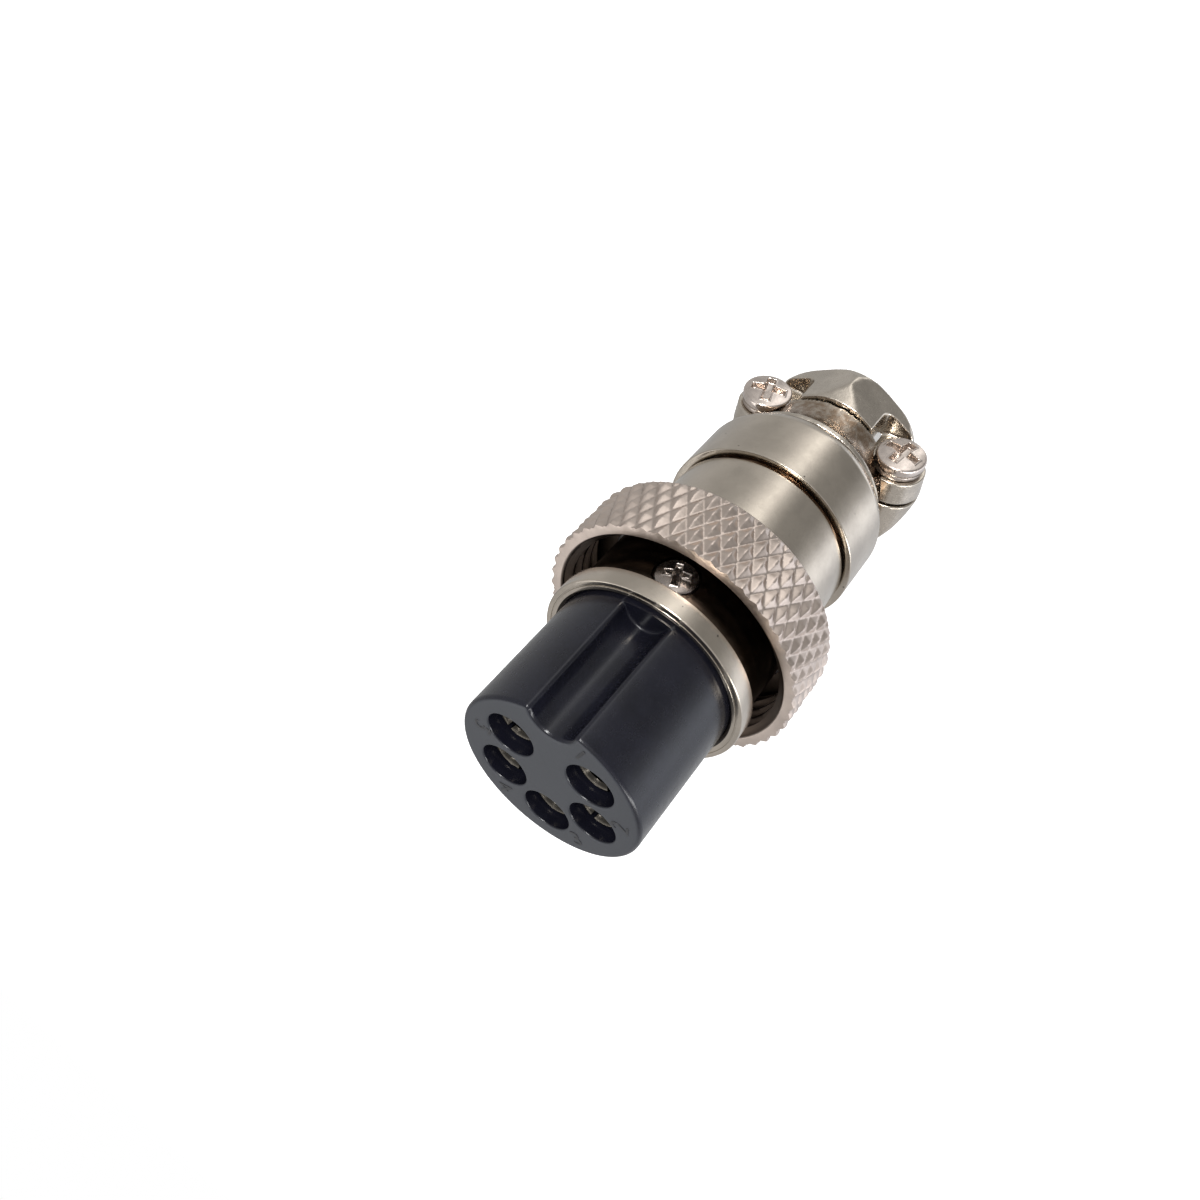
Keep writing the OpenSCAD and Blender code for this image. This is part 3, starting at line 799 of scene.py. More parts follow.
        nt.links.new(shown.outputs[0], first.inputs[2])
        seen = nt.nodes.new("ShaderNodeMath")
        seen.operation = "MAXIMUM"
        nt.links.new(path.outputs["Is Camera Ray"], seen.inputs[0])
        nt.links.new(path.outputs["Is Transmission Ray"], seen.inputs[1])
        nt.links.new(seen.outputs[0], second.inputs[0])
        nt.links.new(first.outputs[0], second.inputs[1])
        nt.links.new(white.outputs[0], second.inputs[2])
        nt.links.new(second.outputs[0], out.inputs["Surface"])


# ---------------------------------------------------------------- pieces

class PLUG_OT_ring(bpy.types.Operator):
    """Coupling ring with its diamond knurl and inside thread"""

    bl_idname = "plug.ring"
    bl_label = "Coupling ring"

    def execute(self, context):
        s = context.scene.plug_ring
        z0, z1, tip = RING_LOW[2], RING_HIGH[2], RING_HIGH[0] - 0.005
        major, minor, lip = tip - 1.0, tip - 1.5, SHELL_HIGH[0] - 0.57 + 0.12
        outer = rounded([
            (tip, z0, 0), (tip, z1 - 0.02, 0), (tip - 0.45, z1, 0),
            (major + 0.12, z1, 0.05), (major, z1 - 0.12, 0),
            (major, z0 + 1.40, 0.05), (major, z0 + 0.95, 0.12), (lip + 0.05, z0 + 0.95, 0.06),
            (lip, z0 + 0.5, 0), (lip, z0, 0.08)])
        profile = fine_where(outer, 0.095, lambda r, z: (r > tip - 0.01) | (np.abs(r - major) < 0.01))
        root = tip - s.depth

        def knurl(t, r, z):
            """r = tip - depth * (1 - h): h is the lesser of two crossed triangle waves of t and z, with
            a soft ridge between them. A chamfer of 45 degrees limits r at the rear edge, and the bore
            carries a thread ridge."""
            u = s.points * t / TAU + (z - z0 + 0.3) / s.rise
            v = s.points * t / TAU - (z - z0 + 0.3) / s.rise
            a = 1 - 2 * np.abs(u - np.round(u))
            b = 1 - 2 * np.abs(v - np.round(v))
            soft = -np.log(np.exp(-16 * a) + np.exp(-16 * b)) / 16
            h = np.clip(soft + 0.015, 0, 1)
            h = h - 0.10 * np.maximum(h - 0.82, 0) / 0.18
            cut_r = np.minimum(tip - s.depth * (1 - h), root - 0.1 + (z - z0) * 1.0)
            bore = (np.abs(r - major) < 0.02) & (z > z0 + 1.3) & (z < z1 - 0.1)
            fade = smooth_step(z, z0 + 1.35, z0 + 1.6) * smooth_step(z1 - z, 0.1, 0.35)
            thread = major - (major - minor) * 0.96 * ridge(t, z, s.pitch) * fade
            return np.where(r > root - 0.2, np.minimum(r, cut_r), np.where(bore, thread, r))

        me = turned("coupling_ring_knurled", profile, 768, knurl)
        material = pearl_nickel("ring_pearl_nickel", s.color, major)
        add_piece("coupling_ring_knurled", me, material, "ring", ["coupling_ring"], angle=38)
        return {"FINISHED"}


class PLUG_OT_shell(bpy.types.Operator):
    """Turned shell: barrel, mouth flange, spot face and rear thread"""

    bl_idname = "plug.shell"
    bl_label = "Shell"

    def execute(self, context):
        s = context.scene.plug_shell
        z0, z1, band = SHELL_LOW[2], SHELL_HIGH[2], SHELL_HIGH[0]
        shoulder, barrel = z0 + 3.45, band - 0.57
        thread_r = barrel - 0.53
        body_r, nose_r = barrel - 1.05, barrel - 0.35
        corners = [
            (thread_r - 0.95, z0, 0.05), (thread_r - 0.35, z0, 0.02),
            (thread_r, z0 + 0.35, 0), (thread_r, shoulder, 0),
            (barrel - 0.02, shoulder, 0.1), (barrel, z1 - 1.45, 0.06),
            (band, z1 - 1.45, 0.1), (band, z1, 0.11),
            (band - 0.36, z1, 0.02), (band - 0.38, z1 - 0.05, 0),
            (band - 0.44, z1 - 0.05, 0), (band - 0.46, z1, 0.02),
            (nose_r + 0.22, z1, 0.04), (nose_r, z1 - 0.22, 0.04),
            (nose_r, z1 - 1.6, 0), (body_r, z1 - 1.6, 0),
            (body_r, z1 - 7, 0), (thread_r - 0.95, z1 - 7, 0.05)]
        profile = rounded(corners)
        chosen = fine_where(
            profile, 0.085, lambda r, z: (np.abs(r - thread_r) < 0.02) & (z < shoulder - 0.01))

        def rear_thread(t, r, z):
            """r = crest less a share of the thread's depth, by the ridge of a right-hand helix."""
            live = (np.abs(r - thread_r) < 0.02) & (z < shoulder - 0.01) & (z > z0 + 0.3)
            return np.where(live, thread_r - 0.34 * (1 - ridge(t, z, s.pitch)), r)

        me = outwards(turned("shell_turned", chosen, 288, rear_thread))
        z_screw = (span("insert_screw")[0][2] + span("insert_screw")[1][2]) / 2
        spot = rounded([
            (0, barrel - 0.45, 0), (1.55, barrel - 0.45, 0.05), (1.55, barrel + 3, 0), (0, barrel + 3, 0)])
        hole = rounded([(0, barrel - 2, 0), (1.1, barrel - 2, 0), (1.1, barrel, 0), (0, barrel, 0)])
        for outline in (spot, hole):
            t = np.arange(64) * TAU / 64
            line = outline[1:-1]
            grid = np.stack([
                np.repeat(line[:, 1:2], 64, 1),
                line[:, :1] * np.cos(t)[None, :],
                z_screw + line[:, :1] * np.sin(t)[None, :]], -1)
            me = cut(me, outwards(make_mesh("tool", *closed_tube(grid))))
        # The last argument paints the barrel dark between the ring and the band, as the coupling ring's shade;
        # the brown in the rear thread is partly tarnish, partly painted shade.
        material = satin_nickel(
            "shell_satin_nickel", s.color, shoulder - 3.2, shoulder + 0.04, thread_r + 0.3,
            (RING_LOW[2] + 0.9, z1 - 1.42))
        add_piece("shell_turned", me, material, "plug", ["plug_shell"], angle=30)
        return {"FINISHED"}


class PLUG_OT_collar(bpy.types.Operator):
    """Rear collar with its long chamfer and recess"""

    bl_idname = "plug.collar"
    bl_label = "Rear collar"

    def execute(self, context):
        s = context.scene.plug_shell
        z0, z1, out = COLLAR_LOW[2], COLLAR_HIGH[2], COLLAR_HIGH[0]
        bore = out - 0.92
        recess = out - 0.63
        spigot = out - 1.77
        rise = [(out - 0.43 * (1 - i / 7) ** 1.5, z0 + 1.1 * i / 7, 0) for i in range(1, 8)]
        corners = [(recess, z0, 0.05), (out - 0.45, z0, 0.06)] + rise + [
            (out, z1, 0.1), (bore + 0.24, z1, 0.03), (bore, z1 - 0.26, 0), (bore, z0 + 1.5, 0),
            (spigot, z0 + 1.5, 0.04),
            (spigot, z0 + 0.5, 0.04), (recess, z0 + 0.5, 0.05)]
        profile = rounded(corners)
        me = turned("rear_collar_turned", profile, 256)
        # The brown band colours the collar's recess at its foot: partly tarnish, partly painted shade where
        # the neck meets the collar.
        material = satin_nickel("collar_satin_nickel", s.color, z0 - 0.2, z0 + 0.55, recess + 0.1)
        add_piece("rear_collar_turned", me, material, "collar", ["rear_collar"], angle=30)
        return {"FINISHED"}


def contact_places():
    """Angles of the five contacts, clockwise from the keyway, in radians."""
    return [-math.radians(51 + 64.5 * i) for i in range(5)]


class PLUG_OT_insert(bpy.types.Operator):
    """Moulded insert with its keyway, five lead-in holes and contact numbers"""

    bl_idname = "plug.insert"
    bl_label = "Insert"

    def execute(self, context):
        s = context.scene.plug_insert
        z0, z1, out = INSERT_LOW[2], INSERT_HIGH[2], -INSERT_LOW[0]
        mouth = SHELL_HIGH[2]
        body = out - 0.7
        seat = mouth - 1.57
        key_end = mouth + 0.3
        keyed, plain = self.outlines(out, s.key_radius, 0.35)
        count = len(keyed)

        def section(flat, z):
            return np.column_stack([flat, np.full(count, z)])

        normal = np.roll(keyed, -1, 0) - np.roll(keyed, 1, 0)
        normal = np.column_stack([normal[:, 1], -normal[:, 0]])
        normal /= np.linalg.norm(normal, axis=1)[:, None]
        rows = [section(plain * (body / out), z0), section(plain * (body / out), seat), section(plain, seat)]
        rows.append(section(plain, key_end - 0.02))
        for k in range(7):
            a = math.pi / 2 * k / 6
            share = 1 - (1 - math.sin(a)) * 0.22
            rows.append(section(plain + (keyed - plain) * share, key_end + 0.18 * (1 - math.cos(a))))
        rows.append(section(keyed, key_end + 0.3))
        e, top = s.edge, z1 - 0.03
        for k in range(9):
            a = math.pi / 2 * k / 8
            rows.append(section(keyed - normal * e * (1 - math.cos(a)), top - e + e * math.sin(a)))
        me = outwards(make_mesh("insert_moulded", *closed_tube(np.array(rows))))
        tools = []
        depth = span("contact_1")[0][2]
        for angle in contact_places():
            c = np.array([math.cos(angle), math.sin(angle)]) * body * 0.626
            r = s.hole / 2
            line = rounded([
                (1.48, z0 - 1, 0), (1.48, CONTACT_TOP - 7.4, 0),
                (r, CONTACT_TOP - 7.4, 0.1), (r, top - 0.001, 0.14),
                (r + 0.9, top + 0.001, 0), (r + 0.9, top + 1, 0)], closed=False)
            t = np.arange(72) * TAU / 72
            grid = np.stack([
                c[0] + line[:, :1] * np.cos(t)[None, :],
                c[1] + line[:, :1] * np.sin(t)[None, :],
                np.repeat(line[:, 1:2], 72, 1)], -1)
            tools.append(closed_tube(grid))
        for tool in tools:
            me = cut(me, outwards(make_mesh("tool", *tool)))
        material = moulded_plastic("insert_black_plastic", s.color, z1)
        add_piece("insert_moulded", me, material, "plug", ["socket_insert"], angle=35)
        self.numbers(z1)
        return {"FINISHED"}

    def outlines(self, out, key_r, edge_r):
        """Keyed and plain outline with matching points. The keyed one is a circle of radius out, a groove
        of radius key_r about (out - 0.05, 0), and a tangent edge arc of radius edge_r between them."""
        kx = out - 0.05
        ex = ((out - edge_r) ** 2 - (key_r + edge_r) ** 2 + kx * kx) / (2 * kx)
        ey = math.sqrt((out - edge_r) ** 2 - ex * ex)
        to_key = math.atan2(ey, ex - kx)
        to_side = math.atan2(ey, ex)
        g = np.linspace(math.pi, to_key, 17)
        groove = np.column_stack([kx + key_r * np.cos(g), key_r * np.sin(g)])
        g = np.linspace(to_key + math.pi, to_side + TAU, 9)[1:]
        edge = np.column_stack([ex + edge_r * np.cos(g), ey + edge_r * np.sin(g)])
        g = np.linspace(to_side, math.pi, 110)[1:]
        side = np.column_stack([out * np.cos(g), out * np.sin(g)])
        half = np.vstack([groove, edge, side])
        keyed = np.vstack([half, (half * [1, -1])[1:-1][::-1]])
        n = len(groove) + len(edge)
        g = np.linspace(0, to_side, n)
        plain_half = np.vstack([np.column_stack([out * np.cos(g), out * np.sin(g)]), side])
        plain = np.vstack([plain_half, (plain_half * [1, -1])[1:-1][::-1]])
        return keyed, plain

    def numbers(self, z):
        """Raised numbers 1 to 5 between the holes and the edge; each stands with its foot towards the edge."""
        f = Finish("number_plastic")
        tone = f.ramp(f.noise(5, 3), 0.35, 0.65)
        f.set("Base Color", f.mix(tone, (0.002, 0.002, 0.003), (0.006, 0.006, 0.008)))
        f.set("Roughness", f.ramp(f.noise(8, 3), 0.3, 0.7, 0.3, 0.42))
        f.set("Normal", f.bump(f.noise(14, 3), 0.006, 0.6))
        for i, (angle, far) in enumerate(NUMBER_PLACES):
            curve = bpy.data.curves.new("number", "FONT")
            curve.body = str(i + 1)
            curve.size = 1.75
            curve.align_x = "CENTER"
            curve.align_y = "CENTER"
            curve.extrude = 0.03
            curve.bevel_depth = 0.012
            curve.resolution_u = 3
            text = bpy.data.objects.new("number", curve)
            bpy.context.scene.collection.objects.link(text)
            bpy.context.view_layer.update()
            me = bpy.data.meshes.new_from_object(text.evaluated_get(bpy.context.evaluated_depsgraph_get()))
            bpy.data.objects.remove(text)
            a = math.radians(angle)
            turn = Matrix.Rotation(a + math.pi / 2, 4, "Z")
            at = Matrix.Translation((far * math.cos(a), far * math.sin(a), z - 0.043))
            me.transform(Matrix.Scale(MM, 4) @ at @ turn)
            add_piece(f"number_{i + 1}", me, f.material, "plug", angle=40)


# direction from the centre, in degrees, and distance from it, in mm, of the numbers 1 to 5
NUMBER_PLACES = [(-22.5, 5.45), (-88.5, 5.2), (-153, 5.2), (141.6, 5.25), (75.3, 5.1)]


class PLUG_OT_contacts(bpy.types.Operator):
    """Five turned socket contacts with spring slits and solder cups"""

    bl_idname = "plug.contacts"
    bl_label = "Contacts"

    def execute(self, context):
        f = Finish("contact_plate")
        # Painted shade: the plate colour is far darker than real tin plate, standing for the shade in the deep
        # holes.
        color = (0.20, 0.18, 0.15)
        rim_tone = f.mix(f.ramp(f.noise(2, 4), 0.35, 0.65), shade(color, 0.8), shade(color, 1.1))
        # Painted shade: below the mouth's rim the plate is painted darker still, except over the hidden solder
        # cups; the rim keeps the lighter tone, standing for its glint.
        deep = f.ramp(f.z, CONTACT_TOP + 0.02, CONTACT_TOP - 0.12)
        cups = f.ramp(f.z, SHELL_HIGH[2] - 5, SHELL_HIGH[2] - 8)
        painted_hole_shade = f.math("MULTIPLY", deep, f.math("SUBTRACT", 1.0, cups))
        f.set("Base Color", f.mix(painted_hole_shade, rim_tone, (0.05, 0.045, 0.038)))
        f.set("Metallic", 1.0)
        f.set("Roughness", f.ramp(f.noise(6, 4), 0.3, 0.7, 0.16, 0.28))
        f.set("Normal", f.bump(f.noise(1.0, 2, 0.5, f.stretched((1, 1, 30))), 0.004, 0.4))
        at = (-INSERT_LOW[0] - 0.7) * 0.626
        for i, angle in enumerate(contact_places()):
            low, high = span(f"contact_{i + 1}")
            tip = high[2]
            floor, cup = tip - 7, low[2]
            stop = cup + 5
            sleeve = rounded([
                (0, floor - 0.35, 0), (1.0, floor, 0.05), (1.0, tip - 0.25, 0.05), (1.25, tip, 0.05),
                (1.4, tip, 0.06), (1.4, floor - 0.4, 0.02), (1.45, floor - 0.4, 0.02),
                (1.45, stop + 0.4, 0.02), (1.63, stop + 0.4, 0.04), (1.63, stop, 0.04),
                (1.25, stop, 0.03), (1.25, cup, 0.04), (0.85, cup, 0.04), (0.85, cup + 3.75, 0.05),
                (0, cup + 3.9, 0)], closed=False)
            t = np.arange(64) * TAU / 64
            grid = np.stack([
                sleeve[:, :1] * np.cos(t)[None, :],
                sleeve[:, :1] * np.sin(t)[None, :],
                np.repeat(sleeve[:, 1:2], 64, 1)], -1)
            me = outwards(make_mesh("contact", *closed_tube(grid)))
            slit = self.block((-0.15, -3, floor + 1.2), (0.15, 3, tip + 1))
            window = self.block((0.1, -3, cup - 1), (3, 3, cup + 2.5))
            me = cut(me, slit)
            me = cut(me, window)
            me.transform(
                Matrix.Translation((at * math.cos(angle) * MM, at * math.sin(angle) * MM, 0))
                @ Matrix.Rotation(angle, 4, "Z"))
            add_piece(
                f"contact_turned_{i + 1}", me, f.material, "plug", [f"contact_{i + 1}"],
                angle=35)
        return {"FINISHED"}

    def block(self, low, high):
        """A cutter between two corners."""
        x0, y0, z0 = low
        x1, y1, z1 = high
        rows = [[(x0, y0, z), (x1, y0, z), (x1, y1, z), (x0, y1, z)] for z in (z0, z1)]
        return outwards(make_mesh("tool", *closed_tube(np.array(rows, float))))


def screw_mesh(head_r, head_h, dome, length, shank_r, span_r, arm, depth):
    """Pan-head screw standing on z = 0. The top is a height over (r, t): a flat dome less a cross-shaped
    recess with sloped walls. Below the head the shank carries a thread ridge."""
    steps = 240
    t = np.arange(steps) * TAU / steps
    r = np.concatenate([[0.0], np.linspace(0.012, 0.9, 64) * head_r, head_r * np.linspace(0.92, 1.0, 7)])
    rr = np.repeat(r[:, None], steps, 1)
    tt = np.repeat(t[None, :], len(r), 0)
    x, y = rr * np.cos(tt), rr * np.sin(tt)
    edge = 0.14
    top = head_h + dome * (1 - (rr / head_r) ** 2.2)
    round_off = np.clip((rr - (head_r - edge)) / edge, 0, 1)
    top = top - edge * (1 - np.sqrt(np.maximum(1 - round_off ** 2, 0)))
    lx, ly = np.abs(x), np.abs(y)
    wide = arm * 0.5
    long_x = np.maximum(lx - span_r, ly - wide)
    long_y = np.maximum(ly - span_r, lx - wide)
    cross = np.minimum(long_x, long_y)
    inner = np.hypot(lx - wide - 0.16, ly - wide - 0.16)
    corner = np.where((lx < wide + 0.16) & (ly < wide + 0.16), 0.16 - inner, 1e3)
    cross = np.minimum(cross, np.maximum(corner, -wide))
    wall = smooth_step(-cross, -0.035, 0.13)
    hollow = depth * wall * (1 - 0.35 * smooth_step(np.hypot(x, y), 0.25 * span_r, span_r))
    top = top - hollow + 0.035 * np.exp(-((cross - 0.05) / 0.05) ** 2) * (rr < head_r * 0.85)
    head = np.stack([x, y, top], -1)
    rim = np.stack([head_r * np.cos(t), head_r * np.sin(t), np.full(steps, 0.06)], -1)
    under = np.stack([(head_r - 0.05) * np.cos(t), (head_r - 0.05) * np.sin(t), np.zeros(steps)], -1)
    zs = np.linspace(-0.01, -length, 46)
    fade = smooth_step(-zs, 0.3, 0.6)[:, None] * smooth_step(length + zs, 0.0, 0.15)[:, None]
    zz = np.repeat(zs[:, None], steps, 1)
    t2 = np.repeat(t[None, :], len(zs), 0)
    sr = shank_r - 0.16 * (1 - ridge(t2, zz, 0.4)) * fade
    shank = np.stack([sr * np.cos(t2), sr * np.sin(t2), zz], -1)
    tail_r = shank_r - 0.3
    tail = np.stack([tail_r * np.cos(t), tail_r * np.sin(t), np.full(steps, -length - 0.25)], -1)
    grid = np.concatenate([head, rim[None], under[None], shank, tail[None]], 0)
    return closed_tube(grid)


class PLUG_OT_screws(bpy.types.Operator):
    """Clamp screws with spring washers, and the small insert screw"""

    bl_idname = "plug.screws"
    bl_label = "Screws"

    def execute(self, context):
        s = context.scene.plug_clamp
        bright = bright_nickel("screw_bright_nickel", s.screw_color)
        # Painted shade: the insert screw is painted at half brightness, standing for the shade of the coupling
        # ring over it.
        screw_in_painted_shade = bright_nickel("insert_screw_nickel", s.screw_color, 0.5, 0.2)
        washer = bright_nickel("washer_nickel", s.screw_color, 0.8, 0.26)
        for side, name, twist in ((1, "left", 16), (-1, "right", 12)):
            low, high = span(f"clamp_screw_{name}")
            y, z = (low[1] + high[1]) / 2, (low[2] + high[2]) / 2
            seat = high[0] - 1.03
            head_r = (high[1] - low[1]) / 2
            points, faces = screw_mesh(head_r, 0.73, 0.28, 4.6, 0.95, head_r * 0.70, head_r * 0.36, 0.62)
            me = outwards(make_mesh(f"clamp_screw_pan_{name}", points, faces))
            turn = Matrix.Rotation(math.radians(side * twist), 4, "Z")
            lay = Matrix(((0, 0, 1, seat), (0, 1, 0, y), (-1, 0, 0, z), (0, 0, 0, 1)))
            place = Matrix.Scale(MM, 4) @ lay @ turn @ Matrix.Scale(1 / MM, 4)
            me.transform(place)
            add_piece(me.name, me, bright, f"screw_{name}", [f"clamp_screw_{name}"], angle=50)
            self.washer(side, name, washer, y, z)
        low, high = span("insert_screw")
        z = (low[2] + high[2]) / 2
        seat = high[0] - 0.62
        points, faces = screw_mesh((high[1] - low[1]) / 2, 0.32, 0.28, 3.6, 0.95, 0.86, 0.42, 0.36)
        me = outwards(make_mesh("insert_screw_pan", points, faces))
        lay = Matrix(((0, 0, 1, seat), (0, 1, 0, 0), (-1, 0, 0, z), (0, 0, 0, 1)))
        turn = Matrix.Rotation(math.radians(20), 4, "Z")
        me.transform(Matrix.Scale(MM, 4) @ lay @ turn @ Matrix.Scale(1 / MM, 4))
        add_piece(me.name, me, screw_in_painted_shade, "plug", ["insert_screw"], angle=50)
        return {"FINISHED"}

    def washer(self, side, name, material, y, z):
        """Split washer: a rounded rectangle carried round an arc that stops short of the split."""
        low, high = span(f"lock_washer_{name}")
        r0, r1, h = 1.075, (high[1] - low[1]) / 2, high[0] - low[0]
        section = rounded([(r0, 0, 0.05), (r1, 0, 0.08), (r1, h, 0.08), (r0, h, 0.05)], 4)
        gap = 0.15 / r1
        t = np.linspace(gap, TAU - gap, 140) + math.radians(side * 60)
        grid = np.stack([
            section[:, 0][None, :] * np.cos(t)[:, None],
            section[:, 0][None, :] * np.sin(t)[:, None],
            np.repeat(section[:, 1][None, :], len(t), 0)], -1)
        me = outwards(make_mesh(f"lock_washer_split_{name}", *closed_tube(grid)))
        lay = Matrix(((0, 0, 1, low[0]), (0, 1, 0, y), (-1, 0, 0, z), (0, 0, 0, 1)))
        me.transform(Matrix.Scale(MM, 4) @ lay @ Matrix.Scale(1 / MM, 4))
        add_piece(me.name, me, material, "saddle", [f"lock_washer_{name}"], angle=40)


# sizes of the clamp, in mm, read from the frame where a box shows them
COLLAR_R = COLLAR_HIGH[0]
HEX_FLAT = COLLAR_R - 1.83
HEX_R = HEX_FLAT / math.cos(math.radians(30))
CABLE_R = HEX_FLAT - 1.5
WAIST_R = CABLE_R + 1.2
FLARE_R = COLLAR_R - 1.0
EAR_Y = HEX_FLAT + 0.11
EAR_Z = 3.93
EAR_R = 2.2
CLAMP_LEN = 4.05
X_SPLIT = 0.3
X_SADDLE = SADDLE_LOW[0]
X_EAR = X_SADDLE + 1.9
NECK = COLLAR_LOW[2]


def hexagon_field(x, y, z):
    """Endless hexagon prism about the Z axis, with two corners on the X axis."""
    a = np.abs(y) - HEX_FLAT
    c, s = math.cos(math.radians(30)), math.sin(math.radians(30))
    b = np.abs(x) * c + np.abs(y) * s - HEX_FLAT
    side = both(a, b, 0.10)
    return side


def hexagon_limit():
    """Turned outline that rounds the hexagon's tail end and chamfers its corners at the neck."""
    pts = np.array([
        (0, 0), (HEX_R - 1, 0), (HEX_R - 0.7, 0.12), (HEX_R - 0.42, 0.45), (HEX_R - 0.15, 1.2), (HEX_R, 2.2),
        (HEX_R, CLAMP_LEN - 1.6), (HEX_R - 0.75, CLAMP_LEN), (0, CLAMP_LEN)], float)
    pts = np.vstack([pts, pts[::-1] * [-1, 1]])
    return turned_field(pts, (-0.5, -1.0), (11.5, 12.5))


def ear_plan():
    """Closed outline of the fixed half seen along the axis, for y > 0: a flat split and a bowed underside."""
    x0 = X_SPLIT + 1
    r = math.hypot(1, EAR_Y + EAR_R)
    a = math.radians(128)
    r2 = 0.42 * r
    c = ((r - r2) * math.cos(a) + x0, (r - r2) * math.sin(a))
    g = np.linspace(math.pi - math.atan(EAR_Y + EAR_R), a, 12)
    first = np.column_stack([x0 + r * np.cos(g), r * np.sin(g)])
    g = np.linspace(a + 0.05, math.radians(188), 14)
    second = np.column_stack([c[0] + r2 * np.cos(g), c[1] + r2 * np.sin(g)])
    pts = np.vstack([[(X_SPLIT, 0)], first, second, [(c[0] - r2, 0)]])
    return np.vstack([pts, (pts * [1, -1])[::-1]])


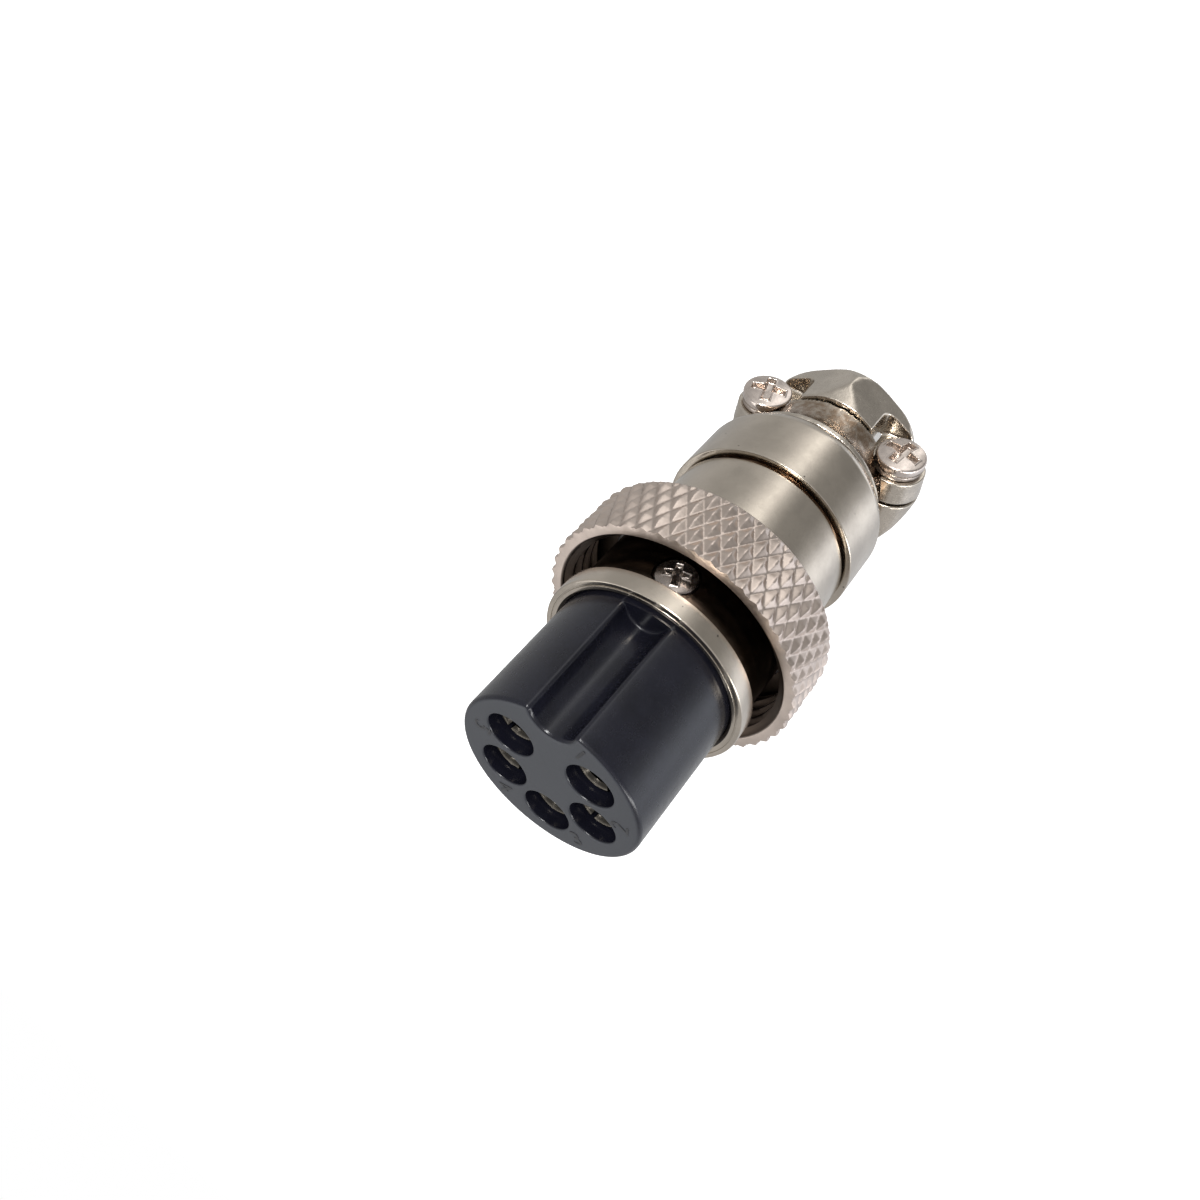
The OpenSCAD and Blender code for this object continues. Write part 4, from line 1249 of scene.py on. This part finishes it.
class PLUG_OT_clamp(bpy.types.Operator):
    """Cast cable clamp: the fixed half with its neck, and the loose half"""

    bl_idname = "plug.clamp"
    bl_label = "Clamp"

    def execute(self, context):
        s = context.scene.plug_clamp
        limit = hexagon_limit()
        neck = self.neck()
        plan = outline_field(ear_plan(), (-9.5, -0.5), (8.0, 9.5))
        bore = turned_field(np.array([
            (-CABLE_R, -3), (CABLE_R, -3), (CABLE_R, NECK + 0.5), (CABLE_R + 0.8, NECK + 1.3),
            (CABLE_R + 0.8, 14), (-CABLE_R - 0.8, 14), (-CABLE_R - 0.8, NECK + 1.3),
            (-CABLE_R, NECK + 0.5)], float),
            (-0.5, -1.5), (11.5, 13))

        def fixed(x, y, z):
            half = both(both(hexagon_field(x, y, z), limit(x, y, z), 0.12), x - X_SPLIT, 0.05)
            stem = neck(x, y, z)
            f = joined(stem, half, s.fillet)
            for side in (-1, 1):
                boss = np.hypot(y - side * EAR_Y, z - EAR_Z) - EAR_R
                boss = both(both(boss, plan(x, np.abs(y)), 0.16), x - X_SPLIT, 0.05)
                f = joined(f, boss, s.fillet)
            f = both(f + s.grit * grit(x, y, z, 3, 1.1), -z, 0.05)
            f = both(f, -bore(x, y, z), 0.08)
            open_part = both(both(X_SPLIT - x, z - (CLAMP_LEN + 0.12), 0.03), np.full_like(x, -1.0), 0.03)
            f = both(f, -open_part, 0.05)
            for side in (-1, 1):
                d = np.hypot(y - side * EAR_Y, z - EAR_Z)
                head = np.maximum(d - (1.875 + 0.15), (X_EAR - 0.3) - x)
                shank = np.maximum(d - 1.1, X_SPLIT - x)
                hole = np.maximum(d - 1.01, (X_SPLIT - 2.9) - x)
                f = both(f, -np.minimum(np.minimum(head, shank), hole), 0.05)
                seat = np.maximum(np.maximum(X_SPLIT - x, d - (EAR_R + 0.15)), 0.02 - stem)
                f = both(f, -seat, 0.03)
            return f

        def loose(x, y, z):
            f = both(hexagon_field(x, y, z), limit(x, y, z), 0.14)
            f = both(f, X_SADDLE - x, 0.05)
            for side in (-1, 1):
                d = np.hypot(y - side * EAR_Y, z - EAR_Z)
                boss = both(both(d - EAR_R + 0.06 * (x - X_SADDLE), x - X_EAR, 0.08), X_SADDLE - x, 0.05)
                f = joined(f, boss, 0.2)
            f = f + s.grit * 0.6 * grit(x, y, z, 8, 1.3)
            f = both(both(f, X_SADDLE - x, 0.03), -z, 0.05)
            f = both(f, -(np.hypot(x, y) - CABLE_R), 0.08)
            passing = np.maximum(np.hypot(x, y) - (WAIST_R + 0.45), CLAMP_LEN - z)
            f = both(f, -passing, 0.05)
            for side in (-1, 1):
                u = side * y - (EAR_Y - 2.66)
                v = z - (EAR_Z - 2.75)
                corner = np.where((u < 0.9) & (v < 0.9), np.hypot(u - 0.9, v - 0.9) - 0.9, np.maximum(-u, -v))
                pocket = both(corner, X_EAR - x, 0.35)
                f = both(f, -pocket, 0.14)
                d = np.hypot(y - side * EAR_Y, z - EAR_Z)
                f = both(f, -(d - 1.1), 0.06)
            return f

        # The throat band of the fixed half is painted brown: partly tarnish, partly painted shade.
        plate = cast_nickel("clamp_cast_nickel", s.color, (CLAMP_LEN, NECK - 0.3, FLARE_R - 0.05))
        me = field_mesh("clamp_fixed_half", fixed, (-7.0, -8.2, -0.4), (7.0, 8.2, 11.3), 0.12)
        add_piece("clamp_fixed_half", me, plate, "clamp", ["clamp_body"], angle=60)
        me = field_mesh("clamp_loose_half", loose, (0.3, -8.2, -0.4), (6.9, 8.2, 6.6), 0.085)
        add_piece("clamp_loose_half", me, cast_nickel("clamp_loose_nickel", s.color), "saddle",
                  ["clamp_saddle"], angle=60)
        return {"FINISHED"}

    def neck(self):
        """Turned neck: waist, flared rim, groove under the collar, base, spigot and its flared lip."""
        wall = NECK + 0.5
        z_waist, z_rim = CLAMP_LEN + 0.7, NECK - 0.7
        low = [
            (WAIST_R + 0.25 * (1 - i / 4) ** 2, CLAMP_LEN - 0.3 + (z_waist - CLAMP_LEN + 0.3) * i / 4)
            for i in range(5)]
        up = [(WAIST_R + (FLARE_R - 0.08 - WAIST_R) * (1 - math.cos(math.radians(90 * i / 10)) ** 0.7),
               z_waist + (z_rim - 0.5 - z_waist) * i / 10) for i in range(1, 11)]
        spigot = FLARE_R - 0.83
        top = [
            (FLARE_R, z_rim - 0.4), (FLARE_R, z_rim - 0.12), (FLARE_R - 0.12, z_rim), (FLARE_R - 0.42, z_rim),
            (FLARE_R - 0.42, NECK + 0.05), (FLARE_R + 0.07, NECK + 0.05), (FLARE_R + 0.07, wall - 0.06),
            (spigot, wall - 0.06), (spigot, wall + 1.06), (spigot + 0.55, wall + 1.06),
            (spigot + 0.55, wall + 1.36),
            (spigot + 0.25, wall + 1.51)]
        right = [(0, CLAMP_LEN - 0.3)] + low + up + top + [(0, wall + 1.51)]
        pts = np.array(right, float)
        pts = np.vstack([pts, (pts * [-1, 1])[::-1]])
        return turned_field(pts, (-0.5, -1.0), (11.5, 13.0))


class PLUG_PT_panel(bpy.types.Panel):
    """Sizes and colours of the plug, and the buttons that make its pieces"""

    bl_idname = "PLUG_PT_panel"
    bl_label = "Cable plug"
    bl_space_type = "VIEW_3D"
    bl_region_type = "UI"
    bl_category = "Cable plug"

    def draw(self, context):
        layout = self.layout
        for title, group, operator in PANEL_ROWS:
            box = layout.box()
            box.label(text=title)
            settings = getattr(context.scene, group)
            for name in settings.bl_rna.properties.keys():
                if name not in ("rna_type", "name"):
                    box.prop(settings, name)
            for one in operator:
                box.operator(one)


PANEL_ROWS = [
    ("Stage", "plug_stage", ["plug.stage"]),
    ("Insert and contacts", "plug_insert", ["plug.insert", "plug.contacts"]),
    ("Shell and collar", "plug_shell", ["plug.shell", "plug.collar"]),
    ("Coupling ring", "plug_ring", ["plug.ring"]),
    ("Clamp and screws", "plug_clamp", ["plug.clamp", "plug.screws"]),
]

CLASSES = [
    PlugRingSettings, PlugShellSettings, PlugInsertSettings, PlugClampSettings, PlugStageSettings,
    PLUG_OT_stage, PLUG_OT_insert, PLUG_OT_contacts, PLUG_OT_shell, PLUG_OT_collar, PLUG_OT_ring,
    PLUG_OT_clamp, PLUG_OT_screws, PLUG_PT_panel,
]

SETTINGS = {
    "plug_ring": PlugRingSettings,
    "plug_shell": PlugShellSettings,
    "plug_insert": PlugInsertSettings,
    "plug_clamp": PlugClampSettings,
    "plug_stage": PlugStageSettings,
}


def register():
    for item in CLASSES:
        bpy.utils.register_class(item)
    for name, group in SETTINGS.items():
        setattr(bpy.types.Scene, name, PointerProperty(type=group))


def unregister():
    for name in SETTINGS:
        delattr(bpy.types.Scene, name)
    for item in reversed(CLASSES):
        bpy.utils.unregister_class(item)


def main():
    register()
    bpy.ops.plug.stage()
    bpy.ops.plug.insert()
    bpy.ops.plug.contacts()
    bpy.ops.plug.shell()
    bpy.ops.plug.collar()
    bpy.ops.plug.ring()
    bpy.ops.plug.clamp()
    bpy.ops.plug.screws()


if __name__ == "__main__":
    main()
